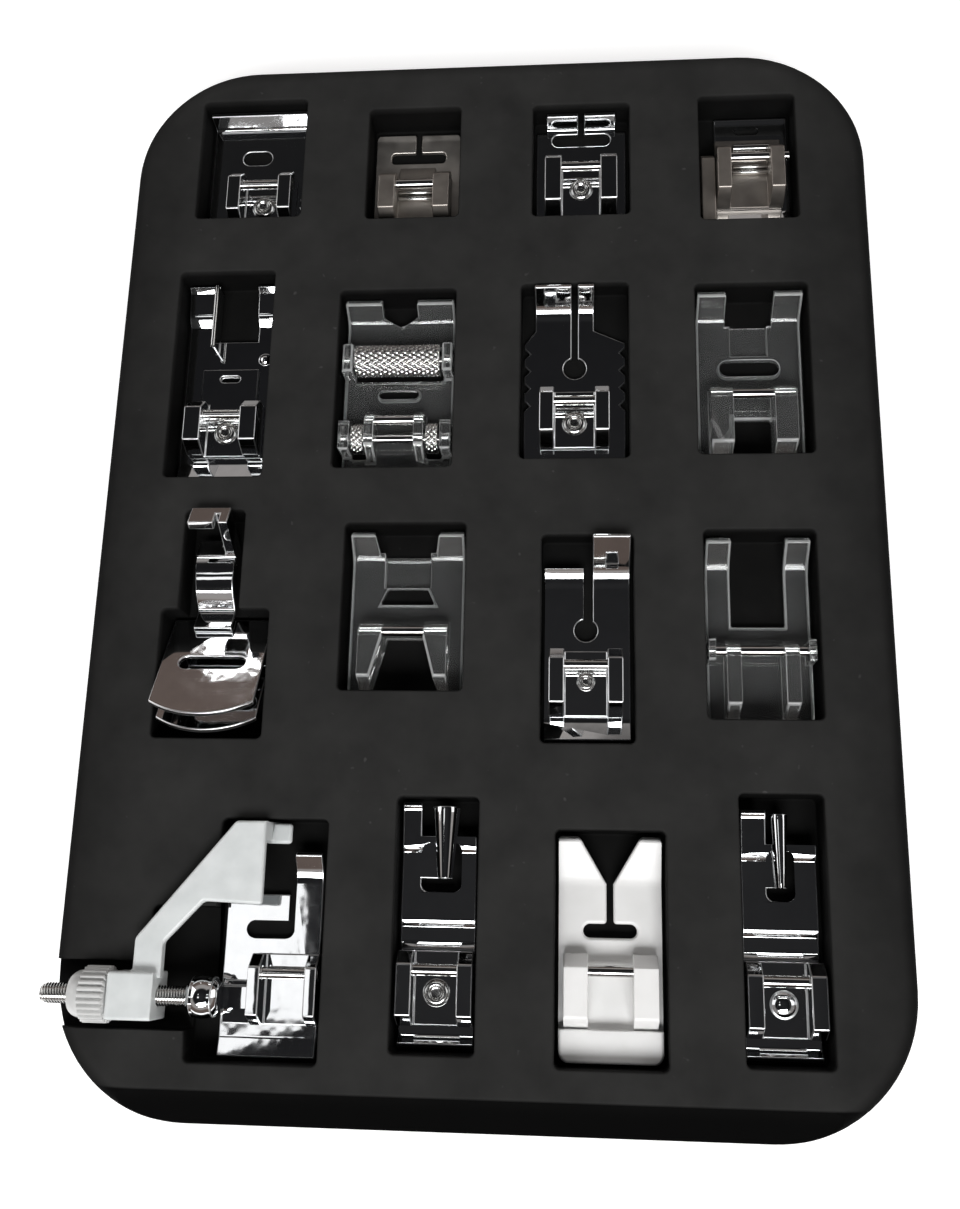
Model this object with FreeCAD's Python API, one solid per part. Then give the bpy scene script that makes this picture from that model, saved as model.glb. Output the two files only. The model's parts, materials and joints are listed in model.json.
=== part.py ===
import FreeCAD, Part
import math
import os

from FreeCAD import Vector

# A foam tray of sewing machine presser feet, each foot loose in its own pocket.
# Tray frame: origin at the centre of the tray's underside, +Y to the side the toes point at, +Z up.
# Foot frame: x = 0 at the middle of the snap bracket, y = 0 at the cross pin with the toes at +y,
# z = 0 at the underside of the sole. All sizes are millimetres, all angles degrees.

os.makedirs("parts", exist_ok=True)

# Tray
TRAY_WIDTH = 150.0
TRAY_LENGTH = 210.0
TRAY_CORNER_R = 25.0
TRAY_BEVEL = 6.0
TRAY_BEVEL_DROP = 5.0
FOAM_THICKNESS = 18.0
BACKING_THICKNESS = 2.0
RIM_FILLET = 5.0
POCKET_DEPTH = 8.0
POCKET_CORNER_R = 1.0
POCKET_SIDE_GAP = 0.6
POCKET_END_GAP = 0.6
SEAT_GAP = 0.05
CUT_PAST = 1.0
TALL = 60.0

# Sheet, bracket, pin and rivet that the metal clip-on feet share
SHEET = 1.0
SNAP_GAP = 7.8
ARM_WIDTH = 2.8
WIDE_ARM_WIDTH = 3.4
ARM_HEIGHT = 5.9
ARM_FRONT = 3.2
ARM_FRONT_BEVEL = 2.2
ARM_FRONT_DROP = 2.6
ARM_REAR_BEVEL = 1.8
ARM_REAR_STEP = 2.4
BRACKET_FLOOR = 0.9
PIN_R = 1.0
PIN_HEIGHT = 4.8
PIN_FIT = 0.02
RIVET_R = 1.2
RIVET_HEAD_R = 2.4
RIVET_HEAD_H = 0.7
SLIT = 1.2

# Moulded plastic feet
CLEAR_SHEET = 1.6
CLEAR_ARM_TOP = 7.0
CLEAR_ARM_FRONT = 2.0
WEB = 0.6

# Straight stitch foot
STRAIGHT_X = -48.4
STRAIGHT_Y = 77.9
STRAIGHT_LEFT = 11.9
STRAIGHT_RIGHT = 8.8
STRAIGHT_REAR = 8.8
STRAIGHT_FLAT = 15.2
STRAIGHT_TOE_R = 2.0
STRAIGHT_TOE_ANGLE = 84.0
STRAIGHT_TOE_TIP = 3.2
STRAIGHT_HOLE_X = -2.4
STRAIGHT_HOLE_Y = 9.0
STRAIGHT_HOLE_LENGTH = 6.2
STRAIGHT_HOLE_WIDTH = 3.2
STRAIGHT_ARM_REAR = 8.4
STRAIGHT_RIVET_Y = -3.6

# Satin stitch foot
SATIN_X = -16.1
SATIN_Y = 77.1
SATIN_HALF_WIDTH = 8.9
SATIN_REAR = 9.0
SATIN_FLAT = 12.4
SATIN_TOE_R = 5.0
SATIN_TOE_ANGLE = 10.0
SATIN_TOE_TIP = 1.0
SATIN_CORNER_R = 1.3
SATIN_SLOT_Y = 8.7
SATIN_SLOT_LENGTH = 11.5
SATIN_SLOT_WIDTH = 2.6
SATIN_SLOT_CORNER_R = 0.9
SATIN_STEP_FRONT = 6.4
SATIN_ARM_REAR = 8.2
SATIN_FRONT_GAP = 1.6

# Zigzag foot
ZIGZAG_X = 18.1
ZIGZAG_Y = 79.1
ZIGZAG_DEPTH = 6.5
ZIGZAG_HALF_WIDTH = 9.2
ZIGZAG_REAR = 11.4
ZIGZAG_FLAT = 10.6
ZIGZAG_TOE_R = 1.8
ZIGZAG_TOE_ANGLE = 80.0
ZIGZAG_TOE_TIP = 3.0
ZIGZAG_TOE_HALF = 7.0
ZIGZAG_SHOULDER = 10.4
ZIGZAG_SLOT_Y = 8.8
ZIGZAG_SLOT_LENGTH = 12.0
ZIGZAG_SLOT_WIDTH = 2.8
ZIGZAG_ARM_REAR = 10.4
ZIGZAG_RIVET_Y = -3.6

# Cording foot
CORDING_X = 52.2
CORDING_Y = 81.2
CORDING_LEFT = 6.6
CORDING_RIGHT = 8.2
CORDING_TAIL = 9.9
CORDING_HEEL_RUN = 2.0
CORDING_FLAT = 9.6
CORDING_TOE_R = 4.0
CORDING_TOE_ANGLE = 25.0
CORDING_TOE_TIP = 0.4
CORDING_HOLE_Y = 8.7
CORDING_HOLE_LENGTH = 5.0
CORDING_HOLE_WIDTH = 1.8
CORDING_ARM_REAR = 9.8
CORDING_TONGUE_FRONT = 6.0
CORDING_PIN_OVERHANG = 1.1
STRIP_LEFT = 9.8
STRIP_WIDTH = 2.8
STRIP_FRONT = 1.4
STRIP_REAR = 15.2
STRIP_HEIGHT = 5.2
STRIP_BEVEL = 1.6
STRIP_TAB_LENGTH = 5.0

# Overcast foot
OVERCAST_X = -52.7
OVERCAST_Y = 26.2
OVERCAST_LEFT = 9.4
OVERCAST_RIGHT = 8.8
OVERCAST_TAIL = 8.6
OVERCAST_FLAT = 20.6
OVERCAST_TOE_R = 1.5
OVERCAST_TOE_ANGLE = 36.0
OVERCAST_TOE_STEP = 1.6
OVERCAST_TOE_SLOPE = 6.0
OVERCAST_TOE_RUN = 4.0
OVERCAST_TOE_TIP = 1.4
OVERCAST_GAP_LEFT = 3.0
OVERCAST_GAP_RIGHT = 4.9
OVERCAST_GAP_REAR = 17.7
OVERCAST_HOLE_Y = 9.0
OVERCAST_HOLE_LENGTH = 4.0
OVERCAST_HOLE_WIDTH = 1.3
OVERCAST_TONGUE_FRONT = 11.2
OVERCAST_TONGUE_HALF = 5.8
OVERCAST_HEEL_RUN = 4.0
OVERCAST_ARM_REAR = 7.8
OVERCAST_RIVET_Y = -2.8
BLADE_THICKNESS = 0.6
BLADE_REAR = 15.0
BLADE_FRONT = 28.4
BLADE_HEIGHT = 5.2
BUMP_X = 6.7
BUMP_Y = 13.6
BUMP_R = 1.3
BUMP_H = 0.8
LIP_RUN = 1.4
LIP_R = 2.2
LIP_ANGLE = 50.0
HEEL_R = 4.0
HEEL_ANGLE = 16.0

# Roller foot
ROLLER_FOOT_X = -18.1
ROLLER_FOOT_Y = 24.5
ROLLER_FOOT_HALF_WIDTH = 11.0
ROLLER_FOOT_REAR = 10.2
ROLLER_FOOT_FLAT = 21.0
ROLLER_FOOT_TOE_R = 4.0
ROLLER_FOOT_TOE_ANGLE = 60.0
ROLLER_FOOT_TOE_TIP = 3.4
ROLLER_NOTCH_HALF = 3.5
ROLLER_NOTCH_REAR = 21.6
ROLLER_NOTCH_V = 1.6
FRONT_ROLLER_Y = 13.2
FRONT_ROLLER_Z = 3.7
FRONT_ROLLER_R = 3.2
FRONT_ROLLER_LENGTH = 17.0
REAR_ROLLER_Y = -3.4
REAR_ROLLER_Z = 3.5
REAR_ROLLER_R = 3.0
REAR_ROLLER_WIDTH = 2.4
AXLE_R = 0.9
AXLE_FIT = 0.05
ROLLER_GAP = 0.35
BOSS_HALF_LENGTH = 3.0
BOSS_TOP = 6.0
ROLLER_ARM_WIDTH = 1.9
ROLLER_ARM_REAR = 7.6
ROLLER_SLOT_Y = 7.0
ROLLER_SLOT_LENGTH = 8.0
ROLLER_SLOT_WIDTH = 2.0
ROLLER_BAR_WIDTH = 0.7
ROLLER_BAR_HEIGHT = 0.8

# Quarter inch foot
QUARTER_X = 16.9
QUARTER_Y = 27.0
QUARTER_DEPTH = 5.2
QUARTER_HALF_WIDTH = 9.9
QUARTER_REAR = 11.2
QUARTER_TOE_LEFT = 7.8
QUARTER_TOE_RIGHT = 3.8
QUARTER_SHOULDER = 13.8
QUARTER_NECK = 16.6
QUARTER_FLAT = 18.4
QUARTER_TOE_R = 4.5
QUARTER_TOE_ANGLE = 62.0
QUARTER_TOE_TIP = 4.0
QUARTER_HOLE_Y = 8.5
QUARTER_HOLE_R = 2.2
QUARTER_NOTCH_PITCH = 3.7
QUARTER_NOTCH_FIRST = 0.6
QUARTER_NOTCH_DEEP = 1.1
QUARTER_NOTCH_COUNT = 4
QUARTER_ARM_REAR = 8.6
QUARTER_RIVET_Y = -3.6

# Clear satin foot
CLEAR_SATIN_X = 51.0
CLEAR_SATIN_Y = 29.2
CLEAR_SATIN_HALF_WIDTH = 10.2
CLEAR_SATIN_REAR = 12.8
CLEAR_SATIN_FLAT = 15.4
CLEAR_SATIN_TOE_R = 4.0
CLEAR_SATIN_TOE_ANGLE = 58.0
CLEAR_SATIN_TOE_TIP = 4.8
CLEAR_SATIN_GAP_HALF = 4.6
CLEAR_SATIN_GAP_REAR = 15.9
CLEAR_SATIN_WINDOW_HALF = 3.6
CLEAR_SATIN_WINDOW_REAR = 9.4
CLEAR_SATIN_SLOT_Y = 6.9
CLEAR_SATIN_SLOT_LENGTH = 11.6
CLEAR_SATIN_SLOT_WIDTH = 3.4
CLEAR_SATIN_ARM_WIDTH = 4.2
CLEAR_SATIN_ARM_REAR = 12.4
CLEAR_SATIN_REAR_GAP_FRONT = -4.0

# Gathering foot, upright frame: y = 0 at the heel, the plates run to -y, z = 0 under the lower plate
GATHER_X = -50.2
GATHER_HEEL_Y = -17.8
GATHER_TILT = 32.0
GATHER_SHANK_X = -1.4
GATHER_DEPTH = 11.3
GATHER_UPPER_HALF = 9.7
GATHER_LOWER_HALF = 9.4
GATHER_LENGTH = 24.0
GATHER_FRONT_BOW = 3.0
GATHER_PLATE = 1.0
GATHER_SPREAD = 3.4
GATHER_HEEL_THICKNESS = 1.6
GATHER_SLOT_Y = -11.3
GATHER_SLOT_LENGTH = 12.6
GATHER_SLOT_WIDTH = 3.3
GATHER_NECK_HALF = 3.7
GATHER_NECK_SHEET = 1.4
GATHER_NECK_BEND_R = 2.4
GATHER_NECK_ROOM = 0.3
GATHER_NECK_TAB = 3.6
GATHER_NECK_RISE = 1.6
GATHER_NECK_ANGLE = 75.0
GATHER_NECK_CREST_R = 6.5
GATHER_NECK_INSET = 1.6
GATHER_NECK_SEAT = 0.7
CLAMP_HALF = 3.8
CLAMP_DEPTH = 4.4
CLAMP_HEIGHT = 10.8
CLAMP_SLOT_HEIGHT = 6.4
CLAMP_SLOT_BOTTOM = 2.6
CLAMP_FLANGE = 1.8
CLAMP_GROOVE = 0.9
CLAMP_GROOVE_DEEP = 2.6
CLAMP_SLOT_SIDE_GAP = 2.0
CLAMP_SLOT_END_GAP = 0.4

# Clear zigzag foot
CLEAR_ZIGZAG_X = -14.8
CLEAR_ZIGZAG_Y = -17.9
CLEAR_ZIGZAG_HALF_WIDTH = 10.9
CLEAR_ZIGZAG_REAR = 11.2
CLEAR_ZIGZAG_FLAT = 13.1
CLEAR_ZIGZAG_TOE_R = 5.0
CLEAR_ZIGZAG_TOE_ANGLE = 42.0
CLEAR_ZIGZAG_TOE_TIP = 4.4
CLEAR_ZIGZAG_NOTCH_FRONT_HALF = 6.9
CLEAR_ZIGZAG_NOTCH_REAR_HALF = 5.4
CLEAR_ZIGZAG_NOTCH_REAR = 15.8
CLEAR_ZIGZAG_WINDOW_HALF = 4.4
CLEAR_ZIGZAG_WINDOW_REAR = 9.2
CLEAR_ZIGZAG_SLOT_FRONT = 9.0
CLEAR_ZIGZAG_SLOT_REAR = 6.0
CLEAR_ZIGZAG_SLOT_FRONT_HALF = 3.8
CLEAR_ZIGZAG_SLOT_REAR_HALF = 5.2
CLEAR_ZIGZAG_V_FRONT = -0.8
CLEAR_ZIGZAG_V_FRONT_HALF = 3.6
CLEAR_ZIGZAG_V_REAR_HALF = 6.4
CLEAR_ZIGZAG_ARM_WIDTH = 4.4
CLEAR_ZIGZAG_ARM_REAR = 10.8

# Ditch foot
DITCH_X = 19.1
DITCH_Y = -24.8
DITCH_DEPTH = 5.2
DITCH_LEFT = 7.6
DITCH_RIGHT = 8.2
DITCH_TAIL = 9.1
DITCH_HEEL_RUN = 3.4
DITCH_HEEL_ANGLE = 19.5
DITCH_FLAT = 15.2
DITCH_TOE_R = 6.0
DITCH_TOE_ANGLE = 52.0
DITCH_TOE_TIP = 6.8
DITCH_SHORT_TOE = 18.8
DITCH_SLOT_X = 0.4
DITCH_SLOT_WIDTH = 1.7
DITCH_HOLE_Y = 7.3
DITCH_HOLE_R = 2.1
DITCH_ARM_REAR = 9.0
DITCH_RIVET_Y = -2.6
DITCH_RIVET_HEAD_R = 1.7

# Open toe foot
OPEN_TOE_X = 50.9
OPEN_TOE_Y = -21.5
OPEN_TOE_HALF_WIDTH = 9.6
OPEN_TOE_REAR = 12.4
OPEN_TOE_FLAT = 14.4
OPEN_TOE_TOE_R = 6.0
OPEN_TOE_TOE_ANGLE = 48.0
OPEN_TOE_TOE_TIP = 4.2
OPEN_TOE_GAP_HALF = 4.9
OPEN_TOE_GAP_REAR = 5.3
OPEN_TOE_ARM_WIDTH = 2.6
OPEN_TOE_ARM_REAR = 12.0

# Blind hem foot
BLIND_X = -33.1
BLIND_Y = -79.6
BLIND_DEPTH = 6.0
BLIND_LEFT = 12.0
BLIND_RIGHT = 5.4
BLIND_REAR = 14.4
BLIND_HEEL_RUN = 3.0
BLIND_HEEL_ANGLE = 10.0
BLIND_FRONT = 13.4
BLIND_TOE_LEFT = 0.5
BLIND_FLAT = 15.0
BLIND_TOE_R = 6.0
BLIND_TOE_ANGLE = 40.0
BLIND_TOE_TIP = 2.6
BLIND_SLOT_LEFT = 8.2
BLIND_SLOT_Y = 7.3
BLIND_SLOT_WIDTH = 3.1
BLIND_ARM_REAR = 8.8
BLIND_ARM_WIDTH = 2.1
BLIND_LEFT_GAP = 4.0
BLIND_WING = 5.4
BLIND_WING_FRONT = -1.4
SCREW_R = 1.75
SCREW_FIT = 0.06
SCREW_Y = -4.2
SCREW_Z = 6.5
SCREW_TIP = 42.2
LUG_R = 3.4
LUG_LEFT = 15.4
LUG_LENGTH = 4.0
KNOB_R = 4.8
KNOB_LENGTH = 7.2
KNOB_GAP = 0.15
GUIDE_BLOCK_LEFT = 29.6
GUIDE_BLOCK_LENGTH = 8.2
GUIDE_BLOCK_HALF = 4.0
GUIDE_TRAVEL = 3.0
GUIDE_PLATE = 1.8
GUIDE_PLATE_Z = 6.9
GUIDE_EDGE_X = -3.9
GUIDE_PLATE_REAR = 11.4
GUIDE_PLATE_FRONT = 25.8
GUIDE_TOP_LEFT = -9.4
GUIDE_ELBOW_X = -14.2
GUIDE_ELBOW_Y = 11.8
GUIDE_ARM_INNER_X = -20.8
GUIDE_ARM_INNER_Y = 4.6
GUIDE_ARM_OUTER_X = -25.9
GUIDE_ARM_OUTER_Y = 5.4
GUIDE_TAB_WIDTH = 3.5
GUIDE_TAB_LENGTH = 3.6
GUIDE_TAB_Z = 2.4
GUIDE_TAB_THICKNESS = 1.2
CHANNEL_SIDE_GAP = 0.9
CHANNEL_FLOOR_GAP = 0.8
BAY_FRONT = 11.0

# Rolled hem feet
WIDE_HEM_X = -7.0
WIDE_HEM_Y = -78.5
WIDE_HEM_LEFT = 6.7
WIDE_HEM_RIGHT = 6.7
WIDE_HEM_SCROLL_X = 1.2
WIDE_HEM_SCROLL_R = 2.5
WIDE_HEM_SCROLL_END_R = 1.3
WIDE_HEM_TOE_WIDTH = 3.5
WIDE_HEM_WINDOW_RIGHT = 4.0
NARROW_HEM_X = 52.9
NARROW_HEM_Y = -79.0
NARROW_HEM_LEFT = 6.7
NARROW_HEM_RIGHT = 6.4
NARROW_HEM_SCROLL_X = 0.1
NARROW_HEM_SCROLL_R = 1.7
NARROW_HEM_SCROLL_END_R = 0.9
NARROW_HEM_TOE_WIDTH = 4.4
NARROW_HEM_WINDOW_RIGHT = 2.6
HEM_TAIL = 10.6
HEM_STEP_REAR = 3.3
HEM_STEP_R = 1.3
HEM_STEP_ANGLE = 45.0
HEM_SHELF = 2.0
HEM_FRONT_RUN = 11.1
HEM_TOE_SLOPE = 8.0
HEM_TOE_RUN = 5.7
HEM_TIP_R = 2.4
HEM_TIP_ANGLE = 40.0
HEM_TIP = 0.3
HEM_RIGHT_FRONT = 23.0
HEM_WINDOW_REAR = 13.3
HEM_WINDOW_FRONT = 21.9
HEM_WINDOW_CORNER_R = 1.4
HEM_SCROLL_REAR = 15.6
HEM_SCROLL_LENGTH = 12.6
HEM_SCROLL_WALL = 0.6
HEM_SCROLL_MOUTH = 70.0
HEM_ARM_REAR = 9.4
HEM_RIVET_Y = -3.9
HEM_DIMPLE_R = 2.2
HEM_DIMPLE_H = 0.8
NARROW_HEM_FRONT_GAP = 2.4

# Non stick foot
NON_STICK_X = 23.35
NON_STICK_Y = -78.0
NON_STICK_HALF_WIDTH = 9.0
NON_STICK_SHEET = 2.2
NON_STICK_REAR = 15.2
NON_STICK_FLAT = 14.0
NON_STICK_TOE_R = 8.0
NON_STICK_TOE_ANGLE = 22.0
NON_STICK_TOE_TIP = 6.6
NON_STICK_V_HALF = 5.6
NON_STICK_V_REAR = 14.8
NON_STICK_V_FRONT = 23.2
NON_STICK_SLOT_Y = 6.7
NON_STICK_SLOT_LENGTH = 9.4
NON_STICK_SLOT_WIDTH = 2.4
NON_STICK_ARM_WIDTH = 4.2
NON_STICK_ARM_FRONT = 2.8
NON_STICK_ARM_REAR = 9.7
NON_STICK_BLOCK_TOP = 4.2
NON_STICK_CORNER_R = 1.7

# Worked out from the sizes above
TRAY_TOP = BACKING_THICKNESS + FOAM_THICKNESS
SNAP_HALF = SNAP_GAP / 2
BRACKET_HALF = SNAP_HALF + ARM_WIDTH
WIDE_BRACKET_HALF = SNAP_HALF + WIDE_ARM_WIDTH
BRACKET_TOP = SHEET + ARM_HEIGHT


# Plain solids

def box(x0, x1, y0, y1, z0, z1):
    return Part.makeBox(x1 - x0, y1 - y0, z1 - z0, Vector(x0, y0, z0))


def rod(x0, x1, y, z, radius):
    return Part.makeCylinder(radius, x1 - x0, Vector(x0, y, z), Vector(1, 0, 0))


def post(x, y, z0, z1, radius):
    return Part.makeCylinder(radius, z1 - z0, Vector(x, y, z0))


def prism(points, z0, z1):
    corners = [Vector(x, y, z0) for x, y in points]
    return Part.Face(Part.makePolygon(corners + corners[:1])).extrude(Vector(0, 0, z1 - z0))


def side_prism(points, x0, x1):
    corners = [Vector(x0, y, z) for y, z in points]
    return Part.Face(Part.makePolygon(corners + corners[:1])).extrude(Vector(x1 - x0, 0, 0))


def rounded_box(x0, x1, y0, y1, z0, z1, radius):
    block = box(x0, x1, y0, y1, z0, z1)
    upright = [edge for edge in block.Edges if abs(edge.tangentAt(edge.FirstParameter).z) > 0.99]
    return block.makeFillet(radius, upright)


def obround(x, y, length, width, z0, z1):
    reach = (length - width) / 2
    bar = box(x - reach, x + reach, y - width / 2, y + width / 2, z0, z1)
    ends = [post(x - reach, y, z0, z1, width / 2), post(x + reach, y, z0, z1, width / 2)]
    return bar.fuse(ends).removeSplitter()


def dome(x, y, z, radius, height):
    ball_r = (radius ** 2 + height ** 2) / (2 * height)
    ball = Part.makeSphere(ball_r, Vector(x, y, z + height - ball_r))
    return ball.common(post(x, y, z, z + height, radius))


def through(cut_points):
    return prism(cut_points, -TALL, TALL)


def slit_to_front(x, y_rear, y_front, width=SLIT):
    return box(x - width / 2, x + width / 2, y_rear, y_front, -TALL, TALL)


# Sheet of one thickness, bent along Y: moves are ("run", length) or ("bend", radius, turn)
# along its underside, from the rear to the toes, where a positive turn rises.

def bent_sheet(start, heading, moves, thickness, x0, x1):
    y, z = start
    angle = math.radians(heading)
    under = []
    over = []

    def lifted(y_at, z_at, turned):
        return (y_at - thickness * math.sin(turned), z_at + thickness * math.cos(turned))

    def line(a, b):
        return Part.LineSegment(Vector(x0, *a), Vector(x0, *b)).toShape()

    first_cap = line((y, z), lifted(y, z, angle))
    for kind, *size in moves:
        if kind == "run":
            end = (y + size[0] * math.cos(angle), z + size[0] * math.sin(angle))
            under.append(line((y, z), end))
            over.append(line(lifted(y, z, angle), lifted(*end, angle)))
        else:
            radius, turn = size
            side = 1 if turn > 0 else -1
            centre = (y - side * radius * math.sin(angle), z + side * radius * math.cos(angle))
            stops = [angle + math.radians(turn) * share for share in (0, 0.5, 1)]
            for edges, r in ((under, radius), (over, radius - side * thickness)):
                points = [Vector(x0, centre[0] + side * r * math.sin(a), centre[1] - side * r * math.cos(a))
                          for a in stops]
                edges.append(Part.Arc(*points).toShape())
            angle = stops[2]
            end = (centre[0] + side * radius * math.sin(angle), centre[1] - side * radius * math.cos(angle))
        y, z = end
    last_cap = line((y, z), lifted(y, z, angle))
    wire = Part.Wire(Part.__sortEdges__(under + over + [first_cap, last_cap]))
    return Part.Face(wire).extrude(Vector(x1 - x0, 0, 0))


def toe_moves(rear, flat, toe_r, toe_angle, toe_tip):
    return [("run", rear + flat), ("bend", toe_r, toe_angle), ("run", toe_tip)]


def lip_moves(tail, flat, run=LIP_RUN, radius=LIP_R, angle=LIP_ANGLE):
    return [("run", run), ("bend", radius, angle), ("run", tail + flat)]


def lip_start(tail, run=LIP_RUN, radius=LIP_R, angle=LIP_ANGLE):
    tilt = math.radians(angle)
    back = radius * math.sin(tilt) + run * math.cos(tilt)
    rise = radius * (1 - math.cos(tilt)) + run * math.sin(tilt)
    return (-tail - back, rise)


def heeled_sheet(tail, heel_run, flat, toe_r, toe_angle, toe_tip, x0, x1, heel_angle=HEEL_ANGLE):
    moves = lip_moves(tail, flat, heel_run, HEEL_R, heel_angle)
    moves += [("bend", toe_r, toe_angle), ("run", toe_tip)]
    return bent_sheet(lip_start(tail, heel_run, HEEL_R, heel_angle), -heel_angle, moves, SHEET, x0, x1)


# Snap bracket, cross pin and rivet of a metal foot

def snap_arms(front, rear, outer, base, top, inner=SNAP_HALF):
    side = [(-rear, base), (-rear, base + ARM_REAR_STEP), (ARM_REAR_BEVEL - rear, top),
            (front - ARM_FRONT_BEVEL, top), (front, top - ARM_FRONT_DROP), (front, base)]
    return [side_prism(side, inner, outer), side_prism(side, -outer, -inner)]


def pin_hole(outer):
    return rod(-outer - CUT_PAST, outer + CUT_PAST, 0, PIN_HEIGHT, PIN_R + PIN_FIT)


def rivet_hole(y):
    return post(0, y, -CUT_PAST, BRACKET_TOP, RIVET_R + PIN_FIT)


def snap_bracket(rear, outer=BRACKET_HALF, rivet_y=None):
    floor = box(-SNAP_HALF, SNAP_HALF, -rear, ARM_FRONT, SHEET, SHEET + BRACKET_FLOOR)
    shape = floor.fuse(snap_arms(ARM_FRONT, rear, outer, SHEET, BRACKET_TOP)).removeSplitter()
    shape = shape.cut(pin_hole(outer))
    if rivet_y is not None:
        shape = shape.cut(rivet_hole(rivet_y))
    return shape


def cross_pin(outer=BRACKET_HALF, overhang=0.0):
    return rod(-outer, outer + overhang, 0, PIN_HEIGHT, PIN_R)


def rivet(y, head_r=RIVET_HEAD_R):
    stem = post(0, y, 0, SHEET + BRACKET_FLOOR, RIVET_R)
    return stem.fuse(dome(0, y, SHEET + BRACKET_FLOOR, head_r, RIVET_HEAD_H)).removeSplitter()


# The feet, each a set of named pieces in its own foot frame

def straight_stitch_foot():
    moves = toe_moves(STRAIGHT_REAR, STRAIGHT_FLAT, STRAIGHT_TOE_R, STRAIGHT_TOE_ANGLE, STRAIGHT_TOE_TIP)
    sole = bent_sheet((-STRAIGHT_REAR, 0), 0, moves, SHEET, -STRAIGHT_LEFT, STRAIGHT_RIGHT)
    hole = obround(STRAIGHT_HOLE_X, STRAIGHT_HOLE_Y, STRAIGHT_HOLE_LENGTH, STRAIGHT_HOLE_WIDTH, -TALL, TALL)
    return {
        "sole": sole.cut([hole, rivet_hole(STRAIGHT_RIVET_Y)]),
        "bracket": snap_bracket(STRAIGHT_ARM_REAR, rivet_y=STRAIGHT_RIVET_Y),
        "pin": cross_pin(),
        "rivet": rivet(STRAIGHT_RIVET_Y),
    }


def satin_stitch_foot():
    moves = toe_moves(SATIN_REAR, SATIN_FLAT, SATIN_TOE_R, SATIN_TOE_ANGLE, SATIN_TOE_TIP)
    sole = bent_sheet((-SATIN_REAR, 0), 0, moves, SHEET, -SATIN_HALF_WIDTH, SATIN_HALF_WIDTH)
    half_slot = SATIN_SLOT_WIDTH / 2
    slot = rounded_box(-SATIN_SLOT_LENGTH / 2, SATIN_SLOT_LENGTH / 2, SATIN_SLOT_Y - half_slot,
                       SATIN_SLOT_Y + half_slot, -TALL, TALL, SATIN_SLOT_CORNER_R)
    slit = slit_to_front(0, SATIN_SLOT_Y, TALL)
    outline = rounded_box(-SATIN_HALF_WIDTH, SATIN_HALF_WIDTH, -TALL, sole.BoundBox.YMax, -TALL, TALL,
                          SATIN_CORNER_R)
    step_side = [(ARM_FRONT, SHEET), (SATIN_STEP_FRONT, SHEET), (ARM_FRONT, SHEET + BRACKET_FLOOR)]
    step = side_prism(step_side, -SNAP_HALF, SNAP_HALF)
    return {
        "sole": sole.common(outline).cut([slot, slit]),
        "bracket": snap_bracket(SATIN_ARM_REAR, WIDE_BRACKET_HALF).fuse(step).removeSplitter(),
        "pin": cross_pin(WIDE_BRACKET_HALF),
    }


def zigzag_foot():
    moves = toe_moves(ZIGZAG_REAR, ZIGZAG_FLAT, ZIGZAG_TOE_R, ZIGZAG_TOE_ANGLE, ZIGZAG_TOE_TIP)
    sole = bent_sheet((-ZIGZAG_REAR, 0), 0, moves, SHEET, -ZIGZAG_HALF_WIDTH, ZIGZAG_HALF_WIDTH)
    slot = obround(0, ZIGZAG_SLOT_Y, ZIGZAG_SLOT_LENGTH, ZIGZAG_SLOT_WIDTH, -TALL, TALL)
    slit = slit_to_front(0, ZIGZAG_SLOT_Y, TALL)
    beside_toe = [box(x0, x1, ZIGZAG_SHOULDER, TALL, -TALL, TALL)
                  for x0, x1 in ((-TALL, -ZIGZAG_TOE_HALF), (ZIGZAG_TOE_HALF, TALL))]
    return {
        "sole": sole.cut([slot, slit, rivet_hole(ZIGZAG_RIVET_Y)] + beside_toe),
        "bracket": snap_bracket(ZIGZAG_ARM_REAR, WIDE_BRACKET_HALF, ZIGZAG_RIVET_Y),
        "pin": cross_pin(WIDE_BRACKET_HALF),
        "rivet": rivet(ZIGZAG_RIVET_Y),
    }


def cording_foot():
    sole = heeled_sheet(CORDING_TAIL, CORDING_HEEL_RUN, CORDING_FLAT, CORDING_TOE_R, CORDING_TOE_ANGLE,
                        CORDING_TOE_TIP, -CORDING_LEFT, CORDING_RIGHT)
    hole = obround(0, CORDING_HOLE_Y, CORDING_HOLE_LENGTH, CORDING_HOLE_WIDTH, -TALL, TALL)
    strip_side = [(-STRIP_REAR, 0), (-STRIP_REAR, STRIP_HEIGHT), (STRIP_FRONT - STRIP_BEVEL, STRIP_HEIGHT),
                  (STRIP_FRONT, STRIP_HEIGHT - STRIP_BEVEL), (STRIP_FRONT, 0)]
    strip = side_prism(strip_side, -STRIP_LEFT, STRIP_WIDTH - STRIP_LEFT)
    tab = box(-STRIP_LEFT, -CORDING_LEFT, -CORDING_TAIL, STRIP_TAB_LENGTH - CORDING_TAIL, 0, SHEET)
    tongue = box(-BRACKET_HALF, BRACKET_HALF, ARM_FRONT - CUT_PAST, CORDING_TONGUE_FRONT,
                 SHEET, SHEET + BRACKET_FLOOR)
    return {
        "sole": sole.cut(hole),
        "bracket": snap_bracket(CORDING_ARM_REAR).fuse(tongue).removeSplitter(),
        "pin": cross_pin(overhang=CORDING_PIN_OVERHANG),
        "guide": strip.fuse(tab).removeSplitter(),
    }


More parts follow.
